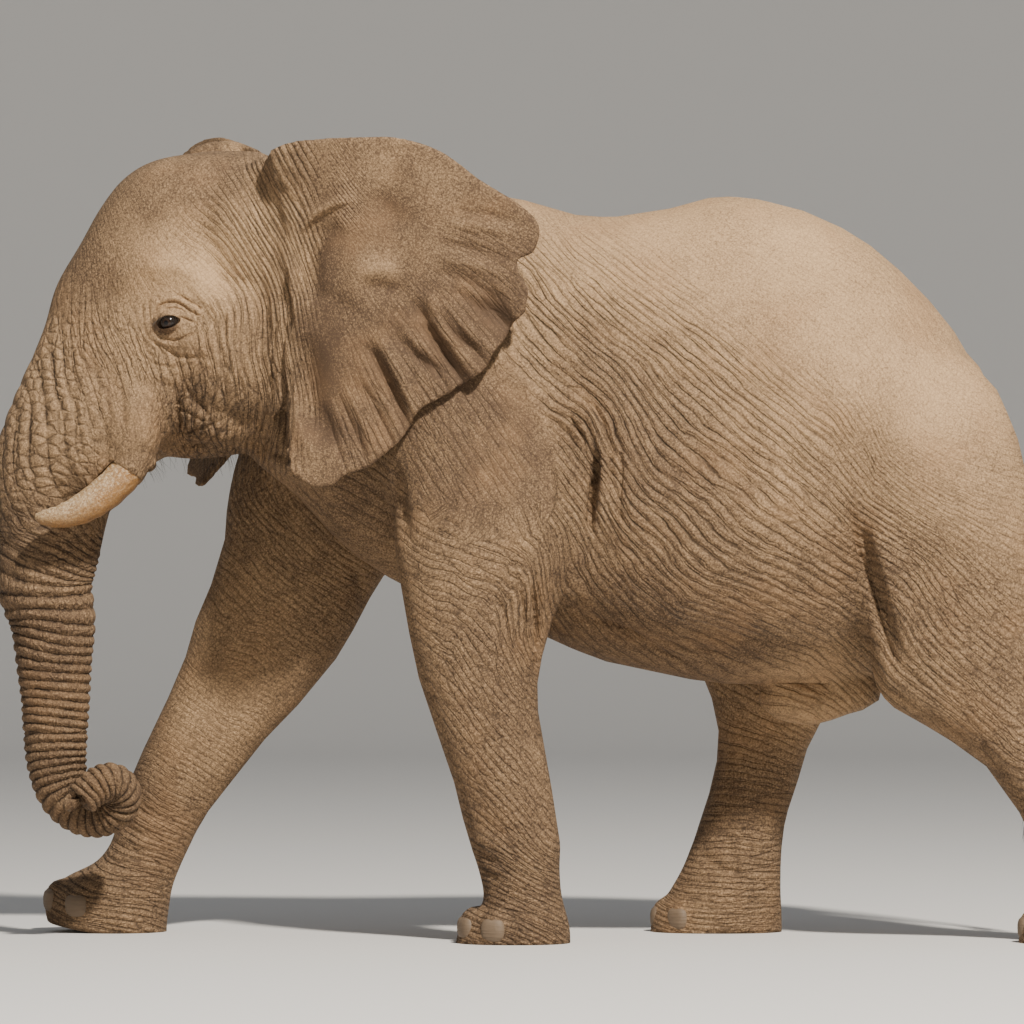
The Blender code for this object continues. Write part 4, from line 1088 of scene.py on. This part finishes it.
# Wrinkles and colours, stored on the skin for its material.
points = points_of(mesh)
phase, depth, run, blade, on_trunk, along_lines = wrinkle_flow(points)
SHADES = np.array((  # all in hundredths: X, Z, lightness, fine net of cracks, broad tiles
    (-185, 325, 24, 100, 0), (-160, 335, 25, 80, 0), (-210, 290, 25, 90, 20),
    (-158, 292, 100, 60, 0), (-172, 302, 75, 80, 0), (-175, 270, 50, 50, 10),
    (-140, 260, 46, 30, 10), (-150, 230, 38, 50, 60), (-166, 232, 28, 60, 100),
    (-160, 220, 30, 60, 90), (-227, 255, 60, 40, 100), (-220, 230, 64, 30, 100),
    (-205, 250, 46, 60, 40), (-192, 228, 44, 80, 0), (-232, 210, 46, 30, 100),
    (-230, 180, 20, 30, 80), (-228, 140, 14, 20, 70), (-225, 80, 14, 20, 50),
    (-205, 60, 16, 50, 30), (-120, 220, 33, 40, 20), (-90, 190, 33, 50, 20),
    (-45, 220, 36, 130, 10), (-50, 170, 36, 130, 20), (-40, 110, 34, 100, 30),
    (-30, 50, 30, 60, 40), (-30, 10, 26, 60, 50), (20, 240, 33, 30, 10), (50, 190, 28, 30, 20),
    (30, 140, 26, 30, 30), (80, 130, 24, 30, 40), (40, 310, 78, 50, 0), (100, 310, 90, 60, 0),
    (120, 260, 80, 50, 0), (80, 260, 56, 30, 0), (160, 240, 82, 60, 0), (130, 210, 48, 40, 20),
    (180, 200, 60, 50, 10), (130, 160, 32, 30, 50), (160, 140, 32, 40, 50), (200, 100, 34, 50, 40),
    (220, 40, 30, 60, 40), (-140, 150, 54, 100, 10), (-170, 90, 56, 120, 10),
    (-200, 35, 38, 70, 40), (85, 80, 32, 60, 20), (80, 30, 30, 60, 40), (-10, 320, 66, 40, 0),
    (-80, 330, 55, 40, 0), (105, 105, 80, 30, 0),
)) / 100
dust_and_painted_light, net, tile = spread_over(SHADES, points[:, [0, 2]], 3.0).T
dust_and_painted_light = dust_and_painted_light * (1 - on_trunk) + 0.24 * on_trunk - 0.03
for side in SIDES:  # the dark, damp skin below the front corner of the eye
    damp = np.array(eye_centre(side)) - [0.020, 0.0, 0.014]
    from_damp = np.linalg.norm((points - damp) / [0.058, 0.100, 0.040], axis=1)
    dust_and_painted_light = dust_and_painted_light - 0.75 * np.exp(-(from_damp**4))
# Painted light: the far ear's rolled top edge is made lighter, as if lit from above.
from_roll = np.linalg.norm((points - [-1.59, 0.70, 3.50]) / [0.17, 0.14, 0.10], axis=1)
far_roll_painted_light = bell(from_roll, 1)
_, flat = blade_share(points)
# Painted shade and light on the ears: fold valleys are darkened and fold ridges lightened, and the
# lightness table darkens the lower front of each blade where the ear's cast shadow falls.
*_, ear_dust_and_painted_light, ear_net = spread_over(EAR_SKIN, flat).T
ear_dust_and_painted_light += -0.15 + np.clip(5.0 * path_folds(flat, EAR_FOLDS), -0.20, 0.16) + 0.5 * far_roll_painted_light
dust_and_painted_light = dust_and_painted_light * (1 - blade) + ear_dust_and_painted_light * blade
net = net * (1 - blade) + ear_net * blade
tile = tile * (1 - blade)
painted = {"flow": phase, "relief": depth, "run": run, "dust_and_painted_light": dust_and_painted_light, "net": net, "tile": tile}
painted |= {"across": along_lines, "beside": points[:, 1] * (1 - on_trunk)}
painted["branch"] = run * (1 - on_trunk) * (1 - at_trunk_root(points)) * (1 - blade)
store(mesh, painted)
bring_home(mesh, points)


class Paint:
    """The nodes of one material."""

    def __init__(self, name):
        self.material = bpy.data.materials.new(name)
        self.material.use_nodes = True
        self.tree = self.material.node_tree
        self.shader = self.tree.nodes["Principled BSDF"]

    def node(self, kind, settings=None, inputs=None):
        """A node of this kind, with its settings first and then its sockets' values or links."""
        made = self.tree.nodes.new("ShaderNode" + kind)
        for key, value in (settings or {}).items():
            setattr(made, key, value)
        for key, value in (inputs or {}).items():
            self.plug(made.inputs[key], value)
        return made

    def plug(self, socket, value):
        """Link a Field to a socket, or set the socket to a value."""
        if isinstance(value, Field):
            self.tree.links.new(value.output, socket)
        else:
            socket.default_value = value

    def read(self, name):
        return Field(self, self.node("Attribute", {"attribute_name": name}).outputs["Fac"])

    def place(self):
        """Object coordinates, whole and then apart as X, Y and Z."""
        whole_place = self.node("TexCoord").outputs["Object"]
        apart = self.node("SeparateXYZ", inputs={0: Field(self, whole_place)})
        return Field(self, whole_place), *(Field(self, apart.outputs[k]) for k in range(3))

    def vector(self, x, y, z):
        return Field(self, self.node("CombineXYZ", inputs={0: x, 1: y, 2: z}).outputs[0])

    def noise(self, place, scale, detail=3.0, roughness=0.55):
        inputs = {"Vector": place, "Scale": scale, "Detail": detail, "Roughness": roughness}
        return Field(self, self.node("TexNoise", inputs=inputs).outputs["Fac"])

    def cells(self, place, scale, feature="DISTANCE_TO_EDGE", loose=1.0, dimensions="3D"):
        settings = {"feature": feature, "voronoi_dimensions": dimensions}
        inputs = {"Vector": place, "Scale": scale, "Randomness": loose}
        return Field(self, self.node("TexVoronoi", settings, inputs).outputs["Distance"])

    def mix(self, share, first, second):
        inputs = {0: share, 6: first, 7: second}
        return Field(self, self.node("Mix", {"data_type": "RGBA"}, inputs).outputs[2])

    def bump(self, height, distance):
        inputs = {"Height": height, "Distance": distance, "Strength": 1.0}
        return Field(self, self.node("Bump", inputs=inputs).outputs["Normal"])

    def dress(self, piece, **sockets):
        """Put the material on a piece, with these values or links in the shader's sockets."""
        for key, value in sockets.items():
            self.plug(self.shader.inputs[key.replace("_", " ")], value)
        piece.data.materials.clear()
        piece.data.materials.append(self.material)


class Field:
    """A value that changes over a surface. Arithmetic on it adds Math nodes."""

    def __init__(self, paint, output):
        self.paint, self.output = paint, output

    def maths(self, operation, *values):
        made = self.paint.node("Math", {"operation": operation}, dict(enumerate(values)))
        return Field(self.paint, made.outputs[0])

    def __add__(self, other):
        return self.maths("ADD", self, other)

    def __mul__(self, other):
        return self.maths("MULTIPLY", self, other)

    def __sub__(self, other):
        return self.maths("SUBTRACT", self, other)

    def __rsub__(self, other):
        return self.maths("SUBTRACT", other, self)

    def __pow__(self, power):
        return self.maths("POWER", self, power)

    __radd__, __rmul__ = __add__, __mul__

    def between(self, low, high):
        """0 up to low, 1 from high, and eased between."""
        inputs = {0: self, 1: low, 2: high, 3: 0.0, 4: 1.0}
        made = self.paint.node("MapRange", {"interpolation_type": "SMOOTHSTEP"}, inputs)
        return Field(self.paint, made.outputs[0])


BARE_HIDE, DUSTY_HIDE = (0.085, 0.050, 0.028, 1), (0.505, 0.323, 0.170, 1)
# The second colour here is painted shade for the creases, partly soil in them.
WARM_SOIL, CREVICE_SHADE_AND_SOIL = (0.34, 0.19, 0.09, 1), (0.040, 0.024, 0.014, 1)
hide = Paint("hide")
place, *_ = hide.place()
lie, relief, run = hide.read("flow"), hide.read("relief"), hide.read("run")
dust_and_painted_light, net, tile = hide.read("dust_and_painted_light"), hide.read("net"), hide.read("tile")
across, beside, branch = hide.read("across"), hide.read("beside"), hide.read("branch")
across = across + 0.012 * (hide.noise(place, 16.0) - 0.5)
lie = lie + 0.26 * (hide.noise(place, 22.0) - 0.5) + 0.14 * (hide.noise(place, 70.0) - 0.5)
fork = hide.noise(hide.vector(lie * 0.6, across * 2.6, beside * 2.6), 1.0, 2.0)
lie = lie + 1.7 * branch * (fork - 0.5)
# Long cells between the wrinkles, broad tiles, a fine net of cracks, and pebbles within them.
along = hide.vector(lie, across * 3.2 + beside * 3.4, 0.0)
long_cells = hide.cells(along, 1.0, loose=0.85, dimensions="2D")
tiles = hide.cells(hide.vector(lie * 1.05, across * 19.0 + 7.3, beside * 19.0), 1.0, loose=0.8)
weave = hide.cells(hide.vector(lie * 1.6 + 3.1, across * 34.0, beside * 34.0), 1.0, loose=0.65)
pebbles = hide.cells(place, 125.0, "F1")
grain = hide.noise(place, 105.0, 5.0, 0.8)
broken = hide.noise(hide.vector(lie * 0.5, across * 4.5, beside * 4.5), 1.0).between(0.34, 0.60)
between_lines = hide.noise(hide.vector(lie * 0.8 + 9.0, across * 7.0, beside * 7.0), 1.0)
between_lines = between_lines.between(0.42, 0.62)
valley = lie.maths("PINGPONG", lie, 0.5)
second = lie * 2.0 + 0.8 * hide.noise(place, 30.0)
second = second.maths("PINGPONG", second, 0.5)
line = (1 - valley.between(0.0, 0.15)) * (0.22 + 0.78 * broken)
thin_line = (1 - second.between(0.0, 0.20)) * between_lines * branch
joint = 1 - long_cells.between(0.0, 0.13)
crease = line.maths("MAXIMUM", line * run, joint * (1 - 0.85 * run))
pillow = (0.24 - 0.16 * run) * long_cells.between(0.0, 0.5) + 0.50 * run * valley.between(0.0, 0.45)
gap = 1 - tiles.between(0.0, 0.16)
plate = 1 - weave.between(0.0, 0.18)
height = relief * (pillow - 0.60 * crease - 0.28 * thin_line)
height = height + tile * (0.45 * tiles.between(0.0, 0.42) - 0.25 * gap)
height = height + 0.26 * grain
worn = hide.noise(place, 2.3, 5.0, 0.6)
patch = hide.noise(place, 11.0, 4.0, 0.6)
speck = grain - 0.5 - 0.35 * (pebbles - 0.5)
# The stored lightness also carries the ears' painted shade and painted light.
light = (dust_and_painted_light + 0.50 * (worn - 0.5) + 0.34 * (patch - 0.5) + 1.5 * speck).between(-0.12, 1.08)
colour = hide.mix(light, BARE_HIDE, DUSTY_HIDE)
warm = hide.noise(place, 3.1, 3.0).between(0.45, 0.75)
colour = hide.mix(0.30 * warm, colour, WARM_SOIL)
# Painted shade, partly soil: creases, tile gaps and the net of cracks are darkened towards the
# crevice colour, in place of the shade that falls in them.
deep = relief * (0.84 * crease + 0.44 * thin_line) + 0.40 * tile * gap + 0.36 * net * plate
colour = hide.mix(deep.maths("MINIMUM", deep, 0.90), colour, CREVICE_SHADE_AND_SOIL)
relief = hide.bump(height, 0.015)
hide.dress(skin, Base_Color=colour, Roughness=0.86 - 0.08 * light, Normal=relief)
hide.dress(skin, Specular_IOR_Level=0.3)
FLESH = (
    "head", "neck", "chest", "rump", "tail", "trunk_upper", "trunk_middle", "trunk_lower",
    "trunk_tip", "leg_front_left", "leg_front_right", "leg_hind_left", "leg_hind_right",
    "ear_left", "ear_right",
)
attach(skin, "root")
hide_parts(*FLESH)

# --- Eyes ------------------------------------------------------------------------------
# Two wet dark balls behind the lids, each with a brown iris round a black pupil under a
# clear cornea.
GAZE = (-0.30, 1.0, -0.12)  # of the right eye
BALL, BALL_SINK = 0.0405, 0.004
BALL_MIDDLE = (EYE.x, EYE.y - BALL_SINK, EYE.z)
PUPIL_EDGE, IRIS_EDGE = (13, 16), (28, 33)  # degrees from the gaze
PUPIL, EYE_RIM = (0.004, 0.004, 0.005, 1), (0.016, 0.012, 0.010, 1)
IRIS = (0.012, 0.007, 0.005, 1), (0.040, 0.020, 0.010, 1)
balls = []
for side in SIDES:
    x, y, z = BALL_MIDDLE
    balls.append(blob((x, side * y, z), (BALL,) * 3, segments=72))
eyes = joined("eyes", balls)
points = points_of(eyes.data)
mirror = np.where(points[:, 1:2] < 0, [[1, -1, 1]], [[1, 1, 1]])
gaze = mirror * GAZE
gaze /= np.linalg.norm(gaze, axis=1, keepdims=True)
towards = ((points - mirror * BALL_MIDDLE) * gaze).sum(axis=1) / BALL
store(eyes.data, {"turned": np.degrees(np.arccos(np.clip(towards, -1, 1)))})
bring_home(eyes.data, points)
wet = Paint("eye")
place, *_ = wet.place()
turned = wet.read("turned")
streaks = wet.noise(place, 420.0, 3.0)
rim = turned.between(*IRIS_EDGE)
colour = wet.mix(rim, wet.mix(streaks, *IRIS), EYE_RIM)
colour = wet.mix(turned.between(*PUPIL_EDGE), PUPIL, colour)
wet.dress(eyes, Base_Color=colour, Roughness=0.08 + 0.10 * streaks, Specular_IOR_Level=0.15)
wet.dress(eyes, Coat_Weight=0.45, Coat_Roughness=0.02)
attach(eyes, "root")
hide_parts("eye_left", "eye_right")

# --- Tusks -----------------------------------------------------------------------------
# Solid ivory, grown in one piece from the skull. Soil and sap have stained the roots and the
# undersides, digging has scored them lengthways, and pale flecks on top are partly wear and partly
# painted sheen.
IVORY, STAINED = (0.37, 0.235, 0.110, 1), (0.27, 0.130, 0.034, 1)
WORN_AND_SHEEN, SOILED = (0.64, 0.490, 0.320, 1), (0.140, 0.066, 0.026, 1)
pair = []
for side in SIDES:
    stations = [(x, side * y, *rest) for x, y, *rest in fair(TUSK, 90)]
    pair.append(loft(tube_rings(stations, 48)))
bmesh.ops.translate(pair[1], vec=FAR_TUSK, verts=pair[1].verts)
tusks = joined("tusks", pair)
points = points_of(tusks.data)
reach, under = np.empty((2, len(points)))
for side in SIDES:
    mine = np.sign(points[:, 1]) == side
    line = tusk_middle(side, 200)
    gap = np.linalg.norm(points[mine, None] - line[None], axis=2)
    nearest = gap.argmin(axis=1)
    reach[mine] = nearest / 199
    under[mine] = (line[nearest, 2] - points[mine, 2]) / (gap.min(axis=1) + 0.004)
scored = 0.0012 * np.sin(9 * under + 23 * reach) * np.sin(31 * reach + 5 * under)
scored = scored + 0.0008 * np.sin(60 * reach)
points += normals_of(tusks.data) * (scored * np.clip((1 - reach) * 8, 0, 1) - 0.0012)[:, None]
store(tusks.data, {"reach": reach, "under": under})
bring_home(tusks.data, points)
ivory = Paint("ivory")
place, _, y, _ = ivory.place()
reach, under = ivory.read("reach"), ivory.read("under")
streak = ivory.noise(ivory.vector(reach * 6.0, under * 5.0, y * 6.0), 2.2, 5.0, 0.65)
fleck = ivory.noise(ivory.vector(reach * 26.0, under * 3.4, y * 16.0), 2.4, 6.0, 0.75)
mottle = ivory.noise(place, 105.0, 5.0, 0.75)
blotch = ivory.noise(place, 17.0, 4.0, 0.6)
stain = 0.80 + 0.50 * under - 0.62 * reach + 0.9 * (streak - 0.5) + 0.8 * (blotch - 0.5)
colour = ivory.mix(stain.between(0.05, 0.80), IVORY, STAINED)
# Pale flecks, strongest on the upper side: partly wear, partly a painted sheen where light falls on
# top.
pale_and_sheen = fleck.between(0.46, 0.60) * (0.42 - 0.46 * under).between(-0.05, 1.0)
colour = ivory.mix(pale_and_sheen, colour, WORN_AND_SHEEN)
dark = (1 - mottle.between(0.40, 0.52)) * (0.66 + 0.16 * under)
colour = ivory.mix(dark, colour, SOILED)
relief = ivory.bump(0.6 * streak + 0.6 * mottle, 0.007)
ivory.dress(tusks, Base_Color=colour, Roughness=0.42 + 0.25 * mottle, Normal=relief)
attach(tusks, "root")
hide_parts("tusk_left", "tusk_right")

# --- Nails -----------------------------------------------------------------------------
# Blunt plates of horn grown over the fronts of the toes, ridged as they grow and worn level
# with the sole.
NAIL_DEEP, NAIL_WIDE, NAIL_HIGH = 0.034, 0.058, 0.056  # half sizes
NAIL_BACK, NAIL_RIDGE, RIDGES = 0.012, 0.0012, 520
plates = []
for node in NAILS:
    for bearing, place in nail_places(node):
        plate = blob((0, 0, 0), (NAIL_DEEP, NAIL_WIDE, NAIL_HIGH), segments=28)
        for vert in plate.verts:
            vert.co.y = NAIL_WIDE * fuller(vert.co.y / NAIL_WIDE, 0.72)
            vert.co.z = NAIL_HIGH * fuller(vert.co.z / NAIL_HIGH, 0.78)
        cut_off(plate, (NAIL_BACK, 0, 0), (1, 0, 0))
        for vert in plate.verts:
            low = max(-vert.co.z, 0)
            vert.co.x -= NAIL_RIDGE * math.sin(vert.co.z * RIDGES) + 0.25 * low * 0.12
        round_the_foot = Euler((0, 0, -bearing)).to_matrix()
        bmesh.ops.rotate(plate, cent=(0, 0, 0), matrix=round_the_foot, verts=plate.verts)
        bmesh.ops.translate(plate, vec=place, verts=plate.verts)
        plates.append(plate)
nails = joined("nails", plates)
bring_home(nails.data, points_of(nails.data))
horn = Paint("horn")
place, x, y, z = horn.place()
rings = horn.noise(horn.vector(x * 9.0, y * 9.0, z * 120.0), 1.0, 3.0)
chips = horn.noise(place, 60.0, 4.0)
colour = horn.mix(rings, (0.10, 0.066, 0.040, 1), (0.19, 0.132, 0.082, 1))
colour = horn.mix(chips.between(0.5, 0.7) * 0.5, colour, (0.16, 0.11, 0.07, 1))
relief = horn.bump(rings + 0.5 * chips, 0.003)
horn.dress(nails, Base_Color=colour, Roughness=0.55 + 0.2 * chips, Normal=relief)
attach(nails, "root")

# --- Hairs -----------------------------------------------------------------------------
# Stiff dark bristles: a tassel down the end of the tail, lashes on the upper lids and a few
# strands about the lips and chin. Each grows from the skin.


def strand(root, heading, length, radius, droop, uv, steps=7):
    """One tapering hair, bending down as it goes, on its own spot of the OFBake map."""
    stations = []
    for k in range(steps):
        share = k / (steps - 1)
        at = root + heading * length * share + Vector((0, 0, -droop)) * share**2
        thick = radius * (1 - 0.85 * share)
        stations.append((*at, thick, thick))
    bm = loft(tube_rings(stations, 4))
    layer = bm.loops.layers.uv.new("OFBake")
    for face in bm.faces:
        for loop in face.loops:
            reach = (loop.vert.co - root).length / length
            side = (loop.vert.co.x - root.x + loop.vert.co.y - root.y) % 1.0
            loop[layer].uv = (uv[0] + 0.003 * side, uv[1] + 0.003 * min(reach, 1.0))
    return bm


def hair(name, strands, dark, light):
    """One piece of many hairs, which vary between two colours."""
    piece = joined(name, strands)
    bring_home(piece.data, points_of(piece.data))
    keratin = Paint(name)
    place, *_ = keratin.place()
    mixed = keratin.noise(place, 90.0, 2.0)
    colour = keratin.mix(mixed, dark, light)
    keratin.dress(piece, Base_Color=colour, Roughness=0.38 + 0.2 * mixed)
    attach(piece, "root")


TAIL_HAIRS, TAIL_HAIR, BRISTLE = 190, 0.0016, 0.0007  # counts, radii
LASHES, BRISTLES = 34, 90
strands = []
tail_line = fair(TAIL, 200)
for _ in range(TAIL_HAIRS):
    share = rng.random() ** 0.8
    row = tail_line[int(199 * (0.74 + 0.25 * share))]
    bearing = rng.choice([0.15, math.pi - 0.15]) + rng.normal(0, 0.55)
    out = Vector((math.cos(bearing), math.sin(bearing), 0))
    root = Vector(row[:3]) + out * row[3] * 0.8
    heading = (out * rng.uniform(0.03, 0.15) + Vector((0, 0, -1))).normalized()
    length = rng.uniform(0.16, 0.30)
    spot = (bearing / 7 + 0.5, 0.1 + 0.8 * share)
    strands.append(strand(root, heading, length, TAIL_HAIR, 0.0, spot))
hair("tail_hair", strands, (0.016, 0.012, 0.010, 1), (0.06, 0.042, 0.03, 1))

strands = []
for side in SIDES:
    outward = Vector((-GAZE_TURN, side, 0.0)).normalized()
    rear = Vector((1.0, side * GAZE_TURN, 0.0)).normalized()
    for k in range(LASHES):
        across = -0.054 + 0.100 * (k + rng.uniform(-0.3, 0.3)) / (LASHES - 1)
        almond = max(1 - ((across - SLIT_MIDDLE) / SLIT_HALF) ** 2, 0)
        up = SLIT_TILT * across + UPPER_LID * almond**0.8 + 0.003
        out = math.sqrt(LID_RADIUS**2 - min(across**2 + up**2, LID_RADIUS**2 * 0.98)) - 0.003
        root = eye_centre(side) + rear * across + outward * out + Vector((0, 0, up))
        heading = outward * 0.8 + rear * (across * 6 - 0.25)
        heading = (heading + Vector((0, 0, rng.uniform(-0.55, -0.15)))).normalized()
        length = rng.uniform(0.030, 0.052)
        strands.append(strand(root, heading, length, BRISTLE, 0.012, (0.5 + across, 0.5 + up)))
hair("lashes", strands, (0.02, 0.015, 0.012, 1), (0.07, 0.05, 0.035, 1))

strands = []
pores, facings = points_of(skin.data) - np.array(SHIFT), normals_of(skin.data)
x, y, z = pores.T
lip = (x < -1.30) & (x > -1.90) & (z < 2.16) & (z > 2.02)
lip &= (np.abs(y) < 0.34) & (facings[:, 2] < -0.1)
for index in rng.choice(np.flatnonzero(lip), BRISTLES, replace=False):
    root = Vector(pores[index] - 0.003 * facings[index])
    heading = Vector(facings[index]) + Vector((rng.normal(0.25, 0.3), rng.normal(0, 0.3), -0.5))
    length = rng.uniform(0.04, 0.10)
    spot = (0.5 + pores[index][0] / 6, 0.5 + pores[index][1] / 2)
    strands.append(strand(root, heading.normalized(), length, BRISTLE, 0.02, spot))
hair("bristles", strands, (0.03, 0.024, 0.02, 1), (0.10, 0.08, 0.06, 1))

# --- Stage -----------------------------------------------------------------------------
# A plain pale floor that sweeps up into a plain wall all round, a large key lamp high on the
# right and soft light from above.
FLOOR_RADIUS, WALL_HEIGHT, WALL_SWEEP = 42, 26, 12
KEY_SIZE, KEY_POWER, KEY_AWAY, KEY_AIM = 1.7, 12000, 24, Vector((0, 0, 1.5))
floor = bpy.data.objects.new("floor", bpy.data.meshes.new("floor"))
bpy.context.scene.collection.objects.link(floor)
sweep = bmesh.new()
bmesh.ops.create_circle(sweep, cap_ends=True, segments=128, radius=FLOOR_RADIUS)
rim = [e for e in sweep.edges if e.is_boundary]
wall = bmesh.ops.extrude_edge_only(sweep, edges=rim)["geom"]
top = [v for v in wall if isinstance(v, bmesh.types.BMVert)]
bmesh.ops.translate(sweep, vec=(0, 0, WALL_HEIGHT), verts=top)
bmesh.ops.bevel(sweep, geom=rim, offset=WALL_SWEEP, segments=16, profile=0.5, affect="EDGES")
bmesh.ops.recalc_face_normals(sweep, faces=sweep.faces)
if max(sweep.faces, key=lambda face: face.calc_area()).normal.z < 0:
    bmesh.ops.reverse_faces(sweep, faces=sweep.faces)
sweep.to_mesh(floor.data)
sweep.free()
floor.data.shade_smooth()
Paint("paper").dress(floor, Base_Color=(0.62, 0.60, 0.57, 1), Roughness=0.95)

key = bpy.data.objects.new("key", bpy.data.lights.new("key", "AREA"))
key.data.size = KEY_SIZE
key.data.energy = KEY_POWER
key.data.color = (1.0, 0.95, 0.87)
key.location = Vector((0.27, -0.66, 0.70)).normalized() * KEY_AWAY + KEY_AIM
key.rotation_euler = (KEY_AIM - key.location).to_track_quat("-Z", "Y").to_euler()
bpy.context.scene.collection.objects.link(key)

world = bpy.data.worlds.new("studio")
bpy.context.scene.world = world
world.use_nodes = True
sky = world.node_tree.nodes["Background"].inputs
sky["Color"].default_value = (0.85, 0.91, 1.0, 1)
sky["Strength"].default_value = 0.36

camera = bpy.data.objects.new("camera", bpy.data.cameras.new("camera"))
camera.location = Vector((-0.248, -26.0, 1.49)) + SHIFT
camera.rotation_euler = (math.radians(90), 0, 0)
camera.data.lens = 206.6
camera.data.shift_y = 0.0859
camera.data.clip_end = 200
bpy.context.scene.collection.objects.link(camera)
bpy.context.scene.camera = camera
